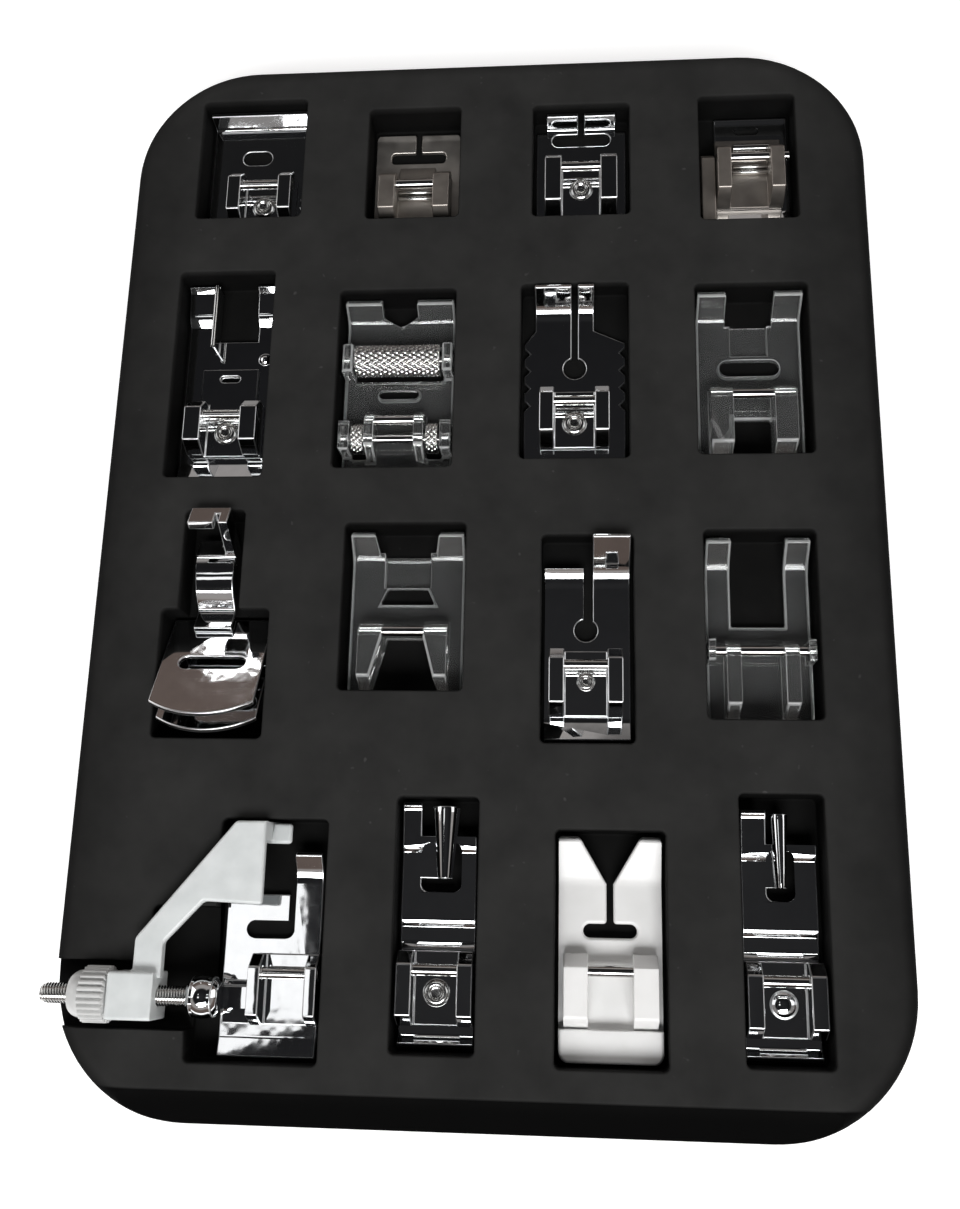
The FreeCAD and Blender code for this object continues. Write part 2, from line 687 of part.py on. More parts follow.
def overcast_foot():
    moves = lip_moves(OVERCAST_TAIL, OVERCAST_FLAT, OVERCAST_HEEL_RUN, HEEL_R, HEEL_ANGLE)
    moves += [("bend", OVERCAST_TOE_R, OVERCAST_TOE_ANGLE), ("run", OVERCAST_TOE_STEP),
              ("bend", OVERCAST_TOE_R, OVERCAST_TOE_SLOPE - OVERCAST_TOE_ANGLE), ("run", OVERCAST_TOE_RUN),
              ("bend", OVERCAST_TOE_R, OVERCAST_TOE_ANGLE - OVERCAST_TOE_SLOPE), ("run", OVERCAST_TOE_TIP)]
    start = lip_start(OVERCAST_TAIL, OVERCAST_HEEL_RUN, HEEL_R, HEEL_ANGLE)
    sole = bent_sheet(start, -HEEL_ANGLE, moves, SHEET, -OVERCAST_LEFT, OVERCAST_RIGHT)
    gap = box(-OVERCAST_GAP_LEFT, OVERCAST_GAP_RIGHT, OVERCAST_GAP_REAR, TALL, -TALL, TALL)
    hole = obround(0, OVERCAST_HOLE_Y, OVERCAST_HOLE_LENGTH, OVERCAST_HOLE_WIDTH, -TALL, TALL)
    blade = box(-OVERCAST_GAP_LEFT - BLADE_THICKNESS, -OVERCAST_GAP_LEFT, BLADE_REAR, BLADE_FRONT,
                SHEET / 2, BLADE_HEIGHT)
    bump = dome(BUMP_X, BUMP_Y, SHEET, BUMP_R, BUMP_H)
    sole = sole.cut([gap, hole, rivet_hole(OVERCAST_RIVET_Y)]).fuse([blade, bump]).removeSplitter()
    tongue = box(-OVERCAST_TONGUE_HALF, OVERCAST_TONGUE_HALF, ARM_FRONT - CUT_PAST, OVERCAST_TONGUE_FRONT,
                 SHEET, SHEET + BRACKET_FLOOR)
    bracket = snap_bracket(OVERCAST_ARM_REAR, WIDE_BRACKET_HALF, OVERCAST_RIVET_Y)
    bracket = bracket.fuse(tongue).removeSplitter()
    return {
        "sole": sole,
        "bracket": bracket.cut(hole),
        "pin": cross_pin(WIDE_BRACKET_HALF),
        "rivet": rivet(OVERCAST_RIVET_Y),
    }


def roller_foot():
    half = ROLLER_FOOT_HALF_WIDTH
    moves = toe_moves(ROLLER_FOOT_REAR, ROLLER_FOOT_FLAT, ROLLER_FOOT_TOE_R, ROLLER_FOOT_TOE_ANGLE,
                      ROLLER_FOOT_TOE_TIP)
    base = bent_sheet((-ROLLER_FOOT_REAR, 0), 0, moves, CLEAR_SHEET, -half, half)
    notch = through([(-ROLLER_NOTCH_HALF, TALL), (-ROLLER_NOTCH_HALF, ROLLER_NOTCH_REAR + ROLLER_NOTCH_V),
                     (0, ROLLER_NOTCH_REAR), (ROLLER_NOTCH_HALF, ROLLER_NOTCH_REAR + ROLLER_NOTCH_V),
                     (ROLLER_NOTCH_HALF, TALL)])
    front_end = FRONT_ROLLER_LENGTH / 2 + ROLLER_GAP
    front_reach = FRONT_ROLLER_R + ROLLER_GAP
    front_bay = box(-front_end, front_end, FRONT_ROLLER_Y - front_reach, FRONT_ROLLER_Y + front_reach,
                    -TALL, TALL)
    arm_outer = SNAP_HALF + ROLLER_ARM_WIDTH
    rear_inner = arm_outer + ROLLER_GAP
    rear_outer = rear_inner + REAR_ROLLER_WIDTH
    rear_end = rear_outer + ROLLER_GAP
    rear_reach = REAR_ROLLER_R + ROLLER_GAP
    rear_bays = [box(x0, x1, REAR_ROLLER_Y - rear_reach, REAR_ROLLER_Y + rear_reach, -TALL, TALL)
                 for x0, x1 in ((-rear_end, -arm_outer), (arm_outer, rear_end))]
    bosses = []
    for y, inner in ((FRONT_ROLLER_Y, front_end), (REAR_ROLLER_Y, rear_end)):
        for x0, x1 in ((-half, -inner), (inner, half)):
            bosses.append(box(x0, x1, y - BOSS_HALF_LENGTH, y + BOSS_HALF_LENGTH, 0, BOSS_TOP))
    slot = obround(0, ROLLER_SLOT_Y, ROLLER_SLOT_LENGTH, ROLLER_SLOT_WIDTH, -TALL, TALL)
    bar_front = ROLLER_SLOT_Y + ROLLER_SLOT_WIDTH / 2 + ROLLER_BAR_WIDTH
    bar = box(-ROLLER_SLOT_LENGTH / 2, ROLLER_SLOT_LENGTH / 2, bar_front - ROLLER_BAR_WIDTH, bar_front,
              0, CLEAR_SHEET + ROLLER_BAR_HEIGHT)
    arms = snap_arms(CLEAR_ARM_FRONT, ROLLER_ARM_REAR, arm_outer, 0, CLEAR_ARM_TOP)
    body = base.cut([notch, front_bay, slot] + rear_bays).fuse(bosses + arms + [bar]).removeSplitter()
    bores = [rod(-half - CUT_PAST, half + CUT_PAST, y, z, AXLE_R + AXLE_FIT)
             for y, z in ((FRONT_ROLLER_Y, FRONT_ROLLER_Z), (REAR_ROLLER_Y, REAR_ROLLER_Z))]
    body = body.cut(bores + [pin_hole(half)])
    front_axle = rod(-half, half, FRONT_ROLLER_Y, FRONT_ROLLER_Z, AXLE_R)
    front_roller = rod(-FRONT_ROLLER_LENGTH / 2, FRONT_ROLLER_LENGTH / 2, FRONT_ROLLER_Y, FRONT_ROLLER_Z,
                       FRONT_ROLLER_R).cut(front_axle)
    rear_axle = rod(-half, half, REAR_ROLLER_Y, REAR_ROLLER_Z, AXLE_R)
    rear_rollers = []
    for x0 in (-rear_outer, rear_inner):
        wheel = rod(x0, x0 + REAR_ROLLER_WIDTH, REAR_ROLLER_Y, REAR_ROLLER_Z, REAR_ROLLER_R)
        rear_rollers.append(wheel.cut(rear_axle))
    return {
        "body": body,
        "pin": rod(-arm_outer, arm_outer, 0, PIN_HEIGHT, PIN_R),
        "front_roller": front_roller,
        "front_axle": front_axle,
        "rear_rollers": Part.makeCompound(rear_rollers),
        "rear_axle": rear_axle,
    }


def quarter_inch_foot():
    half = QUARTER_HALF_WIDTH
    moves = toe_moves(QUARTER_REAR, QUARTER_FLAT, QUARTER_TOE_R, QUARTER_TOE_ANGLE, QUARTER_TOE_TIP)
    sheet = bent_sheet((-QUARTER_REAR, 0), 0, moves, SHEET, -half, half)
    outline = through([(-half, -QUARTER_REAR), (half, -QUARTER_REAR), (half, QUARTER_SHOULDER),
                       (QUARTER_TOE_RIGHT, QUARTER_NECK), (QUARTER_TOE_RIGHT, TALL),
                       (-QUARTER_TOE_LEFT, TALL), (-QUARTER_TOE_LEFT, QUARTER_NECK),
                       (-half, QUARTER_SHOULDER)])
    cuts = [post(0, QUARTER_HOLE_Y, -TALL, TALL, QUARTER_HOLE_R), slit_to_front(0, QUARTER_HOLE_Y, TALL),
            rivet_hole(QUARTER_RIVET_Y)]
    for step in range(QUARTER_NOTCH_COUNT):
        y = QUARTER_NOTCH_FIRST + step * QUARTER_NOTCH_PITCH
        for side in (-1, 1):
            edge = side * half
            cuts.append(through([(edge - side * QUARTER_NOTCH_DEEP, y), (edge, y - QUARTER_NOTCH_DEEP),
                                 (edge + side * CUT_PAST, y), (edge, y + QUARTER_NOTCH_DEEP)]))
    return {
        "sole": sheet.common(outline).cut(cuts),
        "bracket": snap_bracket(QUARTER_ARM_REAR, rivet_y=QUARTER_RIVET_Y),
        "pin": cross_pin(),
        "rivet": rivet(QUARTER_RIVET_Y),
    }


def clear_satin_foot():
    half = CLEAR_SATIN_HALF_WIDTH
    moves = toe_moves(CLEAR_SATIN_REAR, CLEAR_SATIN_FLAT, CLEAR_SATIN_TOE_R, CLEAR_SATIN_TOE_ANGLE,
                      CLEAR_SATIN_TOE_TIP)
    sheet = bent_sheet((-CLEAR_SATIN_REAR, 0), 0, moves, CLEAR_SHEET, -half, half)
    gap = box(-CLEAR_SATIN_GAP_HALF, CLEAR_SATIN_GAP_HALF, CLEAR_SATIN_GAP_REAR, TALL, -TALL, TALL)
    window = box(-CLEAR_SATIN_WINDOW_HALF, CLEAR_SATIN_WINDOW_HALF, CLEAR_SATIN_WINDOW_REAR, TALL, WEB, TALL)
    slot = obround(0, CLEAR_SATIN_SLOT_Y, CLEAR_SATIN_SLOT_LENGTH, CLEAR_SATIN_SLOT_WIDTH, -TALL, TALL)
    rear_gap = box(-SNAP_HALF, SNAP_HALF, -TALL, CLEAR_SATIN_REAR_GAP_FRONT, -TALL, TALL)
    outer = SNAP_HALF + CLEAR_SATIN_ARM_WIDTH
    arms = snap_arms(CLEAR_ARM_FRONT, CLEAR_SATIN_ARM_REAR, outer, 0, CLEAR_ARM_TOP)
    body = sheet.cut([gap, window, slot, rear_gap]).fuse(arms).removeSplitter()
    return {
        "body": body.cut(pin_hole(outer)),
        "pin": cross_pin(outer),
    }


def bowed_plate(half, z0, z1):
    side_front = GATHER_FRONT_BOW - GATHER_LENGTH
    front = Part.Arc(Vector(-half, side_front, z0), Vector(0, -GATHER_LENGTH, z0),
                     Vector(half, side_front, z0))
    corners = [Vector(half, side_front, z0), Vector(half, 0, z0), Vector(-half, 0, z0),
               Vector(-half, side_front, z0)]
    wire = Part.Wire([front.toShape()] + Part.makePolygon(corners).Edges)
    return Part.Face(wire).extrude(Vector(0, 0, z1 - z0))


# Where the gathering foot's clamp starts: at the end of the neck that rises from the plate and arches back
GATHER_UPPER_Z = GATHER_PLATE + GATHER_SPREAD
NECK_TURN = math.radians(GATHER_NECK_ANGLE)
NECK_BENDS = GATHER_NECK_BEND_R + GATHER_NECK_CREST_R
NECK_Y = NECK_BENDS * math.sin(NECK_TURN) + GATHER_NECK_RISE * math.cos(NECK_TURN) - GATHER_NECK_INSET
NECK_LIFT = NECK_BENDS * (1 - math.cos(NECK_TURN)) + GATHER_NECK_RISE * math.sin(NECK_TURN)
CLAMP_Z = GATHER_UPPER_Z + GATHER_PLATE + NECK_LIFT - GATHER_NECK_SEAT


def gathering_foot():
    lower = bowed_plate(GATHER_LOWER_HALF, 0, GATHER_PLATE)
    heel = box(-GATHER_LOWER_HALF, GATHER_LOWER_HALF, -GATHER_HEEL_THICKNESS, 0, 0, GATHER_UPPER_Z)
    slot = obround(0, GATHER_SLOT_Y, GATHER_SLOT_LENGTH, GATHER_SLOT_WIDTH, -TALL, TALL)
    upper = bowed_plate(GATHER_UPPER_HALF, GATHER_UPPER_Z, GATHER_UPPER_Z + GATHER_PLATE)
    neck_moves = [("run", GATHER_NECK_TAB), ("bend", GATHER_NECK_BEND_R, GATHER_NECK_ANGLE),
                  ("run", GATHER_NECK_RISE), ("bend", GATHER_NECK_CREST_R, -GATHER_NECK_ANGLE)]
    neck = bent_sheet((-GATHER_NECK_TAB, GATHER_UPPER_Z + GATHER_PLATE), 0, neck_moves, GATHER_NECK_SHEET,
                      -GATHER_NECK_HALF, GATHER_NECK_HALF)
    front = NECK_Y
    back = NECK_Y + CLAMP_DEPTH
    top = CLAMP_Z + CLAMP_HEIGHT
    clamp = box(-CLAMP_HALF, CLAMP_HALF, front, back, CLAMP_Z, top)
    slot_z = CLAMP_Z + CLAMP_SLOT_BOTTOM
    flange_x = CLAMP_HALF - CLAMP_FLANGE
    bar_slot = box(-CLAMP_HALF - CUT_PAST, flange_x - CLAMP_GROOVE, front - CUT_PAST, back + CUT_PAST,
                   slot_z, slot_z + CLAMP_SLOT_HEIGHT)
    groove = box(flange_x - CLAMP_GROOVE, flange_x, front - CUT_PAST, front + CLAMP_GROOVE_DEEP,
                 CLAMP_Z + CLAMP_GROOVE_DEEP, top + CUT_PAST)
    shank = clamp.cut([bar_slot, groove]).fuse(neck).removeSplitter()
    shank.translate(Vector(GATHER_SHANK_X, 0, 0))
    return {
        "lower_plate": lower.fuse(heel).removeSplitter().cut(slot),
        "upper_plate": upper.cut(slot),
        "shank": shank,
    }


def clear_zigzag_foot():
    half = CLEAR_ZIGZAG_HALF_WIDTH
    moves = toe_moves(CLEAR_ZIGZAG_REAR, CLEAR_ZIGZAG_FLAT, CLEAR_ZIGZAG_TOE_R, CLEAR_ZIGZAG_TOE_ANGLE,
                      CLEAR_ZIGZAG_TOE_TIP)
    sheet = bent_sheet((-CLEAR_ZIGZAG_REAR, 0), 0, moves, CLEAR_SHEET, -half, half)
    toe_front = CLEAR_ZIGZAG_FLAT + CLEAR_ZIGZAG_TOE_R + CLEAR_ZIGZAG_TOE_TIP
    notch = through([(-CLEAR_ZIGZAG_NOTCH_FRONT_HALF, toe_front),
                     (-CLEAR_ZIGZAG_NOTCH_REAR_HALF, CLEAR_ZIGZAG_NOTCH_REAR),
                     (CLEAR_ZIGZAG_NOTCH_REAR_HALF, CLEAR_ZIGZAG_NOTCH_REAR),
                     (CLEAR_ZIGZAG_NOTCH_FRONT_HALF, toe_front)])
    window = box(-CLEAR_ZIGZAG_WINDOW_HALF, CLEAR_ZIGZAG_WINDOW_HALF, CLEAR_ZIGZAG_WINDOW_REAR,
                 CLEAR_ZIGZAG_NOTCH_REAR, WEB, TALL)
    slot = through([(-CLEAR_ZIGZAG_SLOT_FRONT_HALF, CLEAR_ZIGZAG_SLOT_FRONT),
                    (-CLEAR_ZIGZAG_SLOT_REAR_HALF, CLEAR_ZIGZAG_SLOT_REAR),
                    (CLEAR_ZIGZAG_SLOT_REAR_HALF, CLEAR_ZIGZAG_SLOT_REAR),
                    (CLEAR_ZIGZAG_SLOT_FRONT_HALF, CLEAR_ZIGZAG_SLOT_FRONT)])
    vee = through([(-CLEAR_ZIGZAG_V_FRONT_HALF, CLEAR_ZIGZAG_V_FRONT),
                   (-CLEAR_ZIGZAG_V_REAR_HALF, -CLEAR_ZIGZAG_REAR),
                   (CLEAR_ZIGZAG_V_REAR_HALF, -CLEAR_ZIGZAG_REAR),
                   (CLEAR_ZIGZAG_V_FRONT_HALF, CLEAR_ZIGZAG_V_FRONT)])
    outer = SNAP_HALF + CLEAR_ZIGZAG_ARM_WIDTH
    arms = snap_arms(CLEAR_ARM_FRONT, CLEAR_ZIGZAG_ARM_REAR, outer, 0, CLEAR_ARM_TOP)
    body = sheet.cut([notch, window, slot]).fuse(arms).removeSplitter()
    return {
        "body": body.cut([vee, pin_hole(outer)]),
        "pin": cross_pin(outer),
    }


def ditch_foot():
    sheet = heeled_sheet(DITCH_TAIL, DITCH_HEEL_RUN, DITCH_FLAT, DITCH_TOE_R, DITCH_TOE_ANGLE, DITCH_TOE_TIP,
                         -DITCH_LEFT, DITCH_RIGHT, DITCH_HEEL_ANGLE)
    above_short_toe = box(-DITCH_LEFT - CUT_PAST, DITCH_SLOT_X, DITCH_SHORT_TOE, TALL, -TALL, TALL)
    cuts = [above_short_toe, slit_to_front(DITCH_SLOT_X, DITCH_HOLE_Y, TALL, DITCH_SLOT_WIDTH),
            post(0, DITCH_HOLE_Y, -TALL, TALL, DITCH_HOLE_R), rivet_hole(DITCH_RIVET_Y)]
    return {
        "sole": sheet.cut(cuts),
        "bracket": snap_bracket(DITCH_ARM_REAR, rivet_y=DITCH_RIVET_Y),
        "pin": cross_pin(),
        "rivet": rivet(DITCH_RIVET_Y, DITCH_RIVET_HEAD_R),
    }


def open_toe_foot():
    half = OPEN_TOE_HALF_WIDTH
    moves = toe_moves(OPEN_TOE_REAR, OPEN_TOE_FLAT, OPEN_TOE_TOE_R, OPEN_TOE_TOE_ANGLE, OPEN_TOE_TOE_TIP)
    sheet = bent_sheet((-OPEN_TOE_REAR, 0), 0, moves, CLEAR_SHEET, -half, half)
    gap = box(-OPEN_TOE_GAP_HALF, OPEN_TOE_GAP_HALF, OPEN_TOE_GAP_REAR, TALL, -TALL, TALL)
    arms = snap_arms(CLEAR_ARM_FRONT, OPEN_TOE_ARM_REAR, SNAP_HALF + OPEN_TOE_ARM_WIDTH, 0, CLEAR_ARM_TOP)
    side_inner = half - OPEN_TOE_ARM_WIDTH / 2
    cheeks = [box(x0, x1, -CLEAR_ARM_FRONT, CLEAR_ARM_FRONT, 0, PIN_HEIGHT + PIN_R + CLEAR_SHEET / 2)
              for x0, x1 in ((-half, -side_inner), (side_inner, half))]
    body = sheet.cut(gap).fuse(arms + cheeks).removeSplitter()
    return {
        "body": body.cut(pin_hole(half)),
        "pin": cross_pin(half),
    }


def blind_hem_foot():
    tail = BLIND_REAR + lip_start(0, BLIND_HEEL_RUN, HEEL_R, BLIND_HEEL_ANGLE)[0]
    sheet = heeled_sheet(tail, BLIND_HEEL_RUN, BLIND_FLAT, BLIND_TOE_R, BLIND_TOE_ANGLE, BLIND_TOE_TIP,
                         -BLIND_LEFT, BLIND_RIGHT, BLIND_HEEL_ANGLE)
    left_front = box(-BLIND_LEFT - CUT_PAST, BLIND_TOE_LEFT, BLIND_FRONT, TALL, -TALL, TALL)
    slot_length = BLIND_SLOT_LEFT + BLIND_TOE_LEFT
    slot = obround((BLIND_TOE_LEFT - BLIND_SLOT_LEFT) / 2, BLIND_SLOT_Y, slot_length, BLIND_SLOT_WIDTH,
                   -TALL, TALL)
    slit = box(BLIND_TOE_LEFT - SLIT, BLIND_TOE_LEFT, BLIND_SLOT_Y, TALL, -TALL, TALL)
    outer = SNAP_HALF + BLIND_ARM_WIDTH
    wing = box(-outer - BLIND_WING, -outer, -BLIND_ARM_REAR, BLIND_WING_FRONT,
               SHEET, SHEET + BRACKET_FLOOR)
    lug_right = -LUG_LEFT + LUG_LENGTH
    lug = rod(-LUG_LEFT, lug_right, SCREW_Y, SCREW_Z, LUG_R)
    web = box(lug_right - PIN_R, -outer, SCREW_Y - SCREW_R, SCREW_Y + SCREW_R, SHEET, SCREW_Z)
    bracket = snap_bracket(BLIND_ARM_REAR, outer).fuse([wing, web, lug]).removeSplitter()
    screw = rod(-SCREW_TIP, lug_right, SCREW_Y, SCREW_Z, SCREW_R)
    screw_hole = rod(-LUG_LEFT - CUT_PAST, lug_right, SCREW_Y, SCREW_Z, SCREW_R + PIN_FIT)
    guide_hole = rod(-SCREW_TIP, -LUG_LEFT, SCREW_Y, SCREW_Z, SCREW_R + SCREW_FIT)
    block = box(-GUIDE_BLOCK_LEFT, GUIDE_BLOCK_LENGTH - GUIDE_BLOCK_LEFT, SCREW_Y - GUIDE_BLOCK_HALF,
                SCREW_Y + GUIDE_BLOCK_HALF, SCREW_Z - GUIDE_BLOCK_HALF, SCREW_Z + GUIDE_BLOCK_HALF)
    block_front = SCREW_Y + GUIDE_BLOCK_HALF
    plate_top = GUIDE_PLATE_Z + GUIDE_PLATE
    plate = prism([(GUIDE_EDGE_X, GUIDE_PLATE_FRONT), (GUIDE_TOP_LEFT, GUIDE_PLATE_FRONT),
                   (GUIDE_ARM_OUTER_X, GUIDE_ARM_OUTER_Y), (GUIDE_ARM_OUTER_X, block_front - PIN_R),
                   (GUIDE_ARM_INNER_X, block_front - PIN_R), (GUIDE_ARM_INNER_X, GUIDE_ARM_INNER_Y),
                   (GUIDE_ELBOW_X, GUIDE_ELBOW_Y), (GUIDE_EDGE_X, GUIDE_PLATE_REAR)],
                  GUIDE_PLATE_Z, plate_top)
    tab_rear = GUIDE_PLATE_FRONT - GUIDE_TAB_LENGTH
    fin = box(GUIDE_EDGE_X - GUIDE_TAB_THICKNESS, GUIDE_EDGE_X, tab_rear, GUIDE_PLATE_FRONT,
              GUIDE_TAB_Z, plate_top)
    tab = box(GUIDE_EDGE_X, GUIDE_EDGE_X + GUIDE_TAB_WIDTH, tab_rear, GUIDE_PLATE_FRONT,
              GUIDE_TAB_Z, GUIDE_TAB_Z + GUIDE_TAB_THICKNESS)
    guide = block.fuse([plate, fin, tab]).removeSplitter().cut(guide_hole)
    knob_right = -GUIDE_BLOCK_LEFT - KNOB_GAP
    knob = rod(knob_right - KNOB_LENGTH, knob_right, SCREW_Y, SCREW_Z, KNOB_R).cut(guide_hole)
    return {
        "sole": sheet.cut([left_front, slot, slit]),
        "bracket": bracket.cut(screw_hole),
        "pin": cross_pin(outer),
        "screw": screw,
        "guide": guide,
        "knob": knob,
    }


def rolled_hem_sole(left, right, toe_width, window_right, scroll_x, scroll_r, scroll_end_r):
    moves = lip_moves(HEM_TAIL, HEM_STEP_REAR)
    rise = ("bend", HEM_STEP_R, HEM_STEP_ANGLE)
    level = ("bend", HEM_STEP_R, -HEM_STEP_ANGLE)
    moves += [rise, level, ("run", HEM_SHELF), rise, level, ("run", HEM_FRONT_RUN),
              rise, ("bend", HEM_STEP_R, HEM_TOE_SLOPE - HEM_STEP_ANGLE), ("run", HEM_TOE_RUN),
              ("bend", HEM_TIP_R, HEM_TIP_ANGLE), ("run", HEM_TIP)]
    sheet = bent_sheet(lip_start(HEM_TAIL), -LIP_ANGLE, moves, SHEET, -left, right)
    front_z = 4 * HEM_STEP_R * (1 - math.cos(math.radians(HEM_STEP_ANGLE)))
    toe_right = toe_width - left
    beside_toe = box(toe_right, right + CUT_PAST, HEM_RIGHT_FRONT, TALL, -TALL, TALL)
    window = rounded_box(toe_right, window_right, HEM_WINDOW_REAR, HEM_WINDOW_FRONT, -TALL, TALL,
                         HEM_WINDOW_CORNER_R)
    along = Vector(0, 1, 0)
    mouth = Vector(scroll_x, HEM_SCROLL_REAR, front_z + scroll_r)
    outer = Part.makeCone(scroll_end_r, scroll_r, HEM_SCROLL_LENGTH, mouth, along)
    inner = Part.makeCone(scroll_end_r - HEM_SCROLL_WALL, scroll_r - HEM_SCROLL_WALL, HEM_SCROLL_LENGTH,
                          mouth, along)
    reach = scroll_r * 2
    open_to = [(0, 0), (reach, reach * math.tan(math.radians(HEM_SCROLL_MOUTH / 2))), (reach, -reach / 3)]
    wedge_face = [Vector(scroll_x + x, HEM_SCROLL_REAR - CUT_PAST, front_z + scroll_r + z)
                  for x, z in open_to]
    wedge = Part.Face(Part.makePolygon(wedge_face + wedge_face[:1]))
    wedge = wedge.extrude(Vector(0, HEM_SCROLL_LENGTH + 2 * CUT_PAST, 0))
    bridge = box(toe_right - SHEET, scroll_x, HEM_SCROLL_REAR, HEM_SCROLL_REAR + HEM_SCROLL_LENGTH / 2,
                 front_z, front_z + SHEET)
    scroll = outer.cut([inner, wedge])
    return sheet.cut([beside_toe, window]).fuse([bridge.cut(inner), scroll]).removeSplitter()


def wide_rolled_hem_foot():
    sole = rolled_hem_sole(WIDE_HEM_LEFT, WIDE_HEM_RIGHT, WIDE_HEM_TOE_WIDTH, WIDE_HEM_WINDOW_RIGHT,
                           WIDE_HEM_SCROLL_X, WIDE_HEM_SCROLL_R, WIDE_HEM_SCROLL_END_R)
    return {
        "sole": sole.cut(rivet_hole(HEM_RIVET_Y)),
        "bracket": snap_bracket(HEM_ARM_REAR, rivet_y=HEM_RIVET_Y),
        "pin": cross_pin(),
        "rivet": rivet(HEM_RIVET_Y),
    }


def narrow_rolled_hem_foot():
    sole = rolled_hem_sole(NARROW_HEM_LEFT, NARROW_HEM_RIGHT, NARROW_HEM_TOE_WIDTH, NARROW_HEM_WINDOW_RIGHT,
                           NARROW_HEM_SCROLL_X, NARROW_HEM_SCROLL_R, NARROW_HEM_SCROLL_END_R)
    dimple = dome(0, HEM_RIVET_Y, SHEET + BRACKET_FLOOR, HEM_DIMPLE_R, HEM_DIMPLE_H)
    return {
        "sole": sole,
        "bracket": snap_bracket(HEM_ARM_REAR).fuse(dimple).removeSplitter(),
        "pin": cross_pin(),
    }


def non_stick_foot():
    half = NON_STICK_HALF_WIDTH
    moves = toe_moves(NON_STICK_REAR, NON_STICK_FLAT, NON_STICK_TOE_R, NON_STICK_TOE_ANGLE,
                      NON_STICK_TOE_TIP)
    sheet = bent_sheet((-NON_STICK_REAR, 0), 0, moves, NON_STICK_SHEET, -half, half)
    toe_front = NON_STICK_FLAT + NON_STICK_TOE_R + NON_STICK_TOE_TIP
    widening = (NON_STICK_V_HALF - SLIT / 2) / (NON_STICK_V_FRONT - NON_STICK_V_REAR)
    mouth = SLIT / 2 + widening * (toe_front - NON_STICK_V_REAR)
    vee = through([(-SLIT / 2, NON_STICK_V_REAR), (SLIT / 2, NON_STICK_V_REAR),
                   (mouth, toe_front), (-mouth, toe_front)])
    slit = slit_to_front(0, NON_STICK_SLOT_Y, NON_STICK_V_REAR)
    slot = obround(0, NON_STICK_SLOT_Y, NON_STICK_SLOT_LENGTH, NON_STICK_SLOT_WIDTH, -TALL, TALL)
    block = box(-half, half, -NON_STICK_REAR, -NON_STICK_ARM_REAR, 0, NON_STICK_BLOCK_TOP)
    outer = SNAP_HALF + NON_STICK_ARM_WIDTH
    arms = snap_arms(NON_STICK_ARM_FRONT, NON_STICK_ARM_REAR, outer, 0, CLEAR_ARM_TOP)
    rounded = rounded_box(-half, half, -NON_STICK_REAR, TALL, -TALL, TALL, NON_STICK_CORNER_R)
    body = sheet.cut([vee, slit, slot]).fuse([block] + arms).removeSplitter().common(rounded)
    return {
        "body": body.cut(pin_hole(outer)),
        "pin": cross_pin(outer),
    }


# Feet in their pockets: name, pieces, place of the cross pin, pocket depth, room ahead of the toes
FLAT_FEET = [
    ("straight_stitch", straight_stitch_foot, STRAIGHT_X, STRAIGHT_Y, POCKET_DEPTH, POCKET_END_GAP),
    ("satin_stitch", satin_stitch_foot, SATIN_X, SATIN_Y, POCKET_DEPTH, SATIN_FRONT_GAP),
    ("zigzag", zigzag_foot, ZIGZAG_X, ZIGZAG_Y, ZIGZAG_DEPTH, POCKET_END_GAP),
    ("cording", cording_foot, CORDING_X, CORDING_Y, POCKET_DEPTH, POCKET_END_GAP),
    ("overcast", overcast_foot, OVERCAST_X, OVERCAST_Y, POCKET_DEPTH, POCKET_END_GAP),
    ("roller", roller_foot, ROLLER_FOOT_X, ROLLER_FOOT_Y, POCKET_DEPTH, POCKET_END_GAP),
    ("quarter_inch", quarter_inch_foot, QUARTER_X, QUARTER_Y, QUARTER_DEPTH, POCKET_END_GAP),
    ("clear_satin", clear_satin_foot, CLEAR_SATIN_X, CLEAR_SATIN_Y, POCKET_DEPTH, POCKET_END_GAP),
    ("clear_zigzag", clear_zigzag_foot, CLEAR_ZIGZAG_X, CLEAR_ZIGZAG_Y, POCKET_DEPTH, POCKET_END_GAP),
    ("ditch", ditch_foot, DITCH_X, DITCH_Y, DITCH_DEPTH, POCKET_END_GAP),
    ("open_toe", open_toe_foot, OPEN_TOE_X, OPEN_TOE_Y, POCKET_DEPTH, POCKET_END_GAP),
    ("wide_hem", wide_rolled_hem_foot, WIDE_HEM_X, WIDE_HEM_Y, POCKET_DEPTH, POCKET_END_GAP),
    ("non_stick", non_stick_foot, NON_STICK_X, NON_STICK_Y, POCKET_DEPTH, POCKET_END_GAP),
    ("narrow_hem", narrow_rolled_hem_foot, NARROW_HEM_X, NARROW_HEM_Y, POCKET_DEPTH, NARROW_HEM_FRONT_GAP),
]

nodes = {}
pockets = []


def add_foot(name, pieces, x, y, depth, tilt=0.0):
    placed = []
    for piece, shape in pieces.items():
        solid = shape.copy()
        solid.rotate(Vector(0, 0, 0), Vector(1, 0, 0), tilt)
        solid.translate(Vector(x, y, TRAY_TOP - depth + SEAT_GAP))
        nodes[name + "_" + piece] = solid
        placed.append(solid)
    return placed


def cut_pocket(x0, x1, y0, y1, depth):
    pockets.append(rounded_box(x0, x1, y0, y1, TRAY_TOP - depth, TRAY_TOP + CUT_PAST, POCKET_CORNER_R))


def pocket_around(shapes, depth, front_gap=POCKET_END_GAP):
    room = Part.makeCompound(shapes).optimalBoundingBox(False, False)
    cut_pocket(room.XMin - POCKET_SIDE_GAP, room.XMax + POCKET_SIDE_GAP,
               room.YMin - POCKET_END_GAP, room.YMax + front_gap, depth)


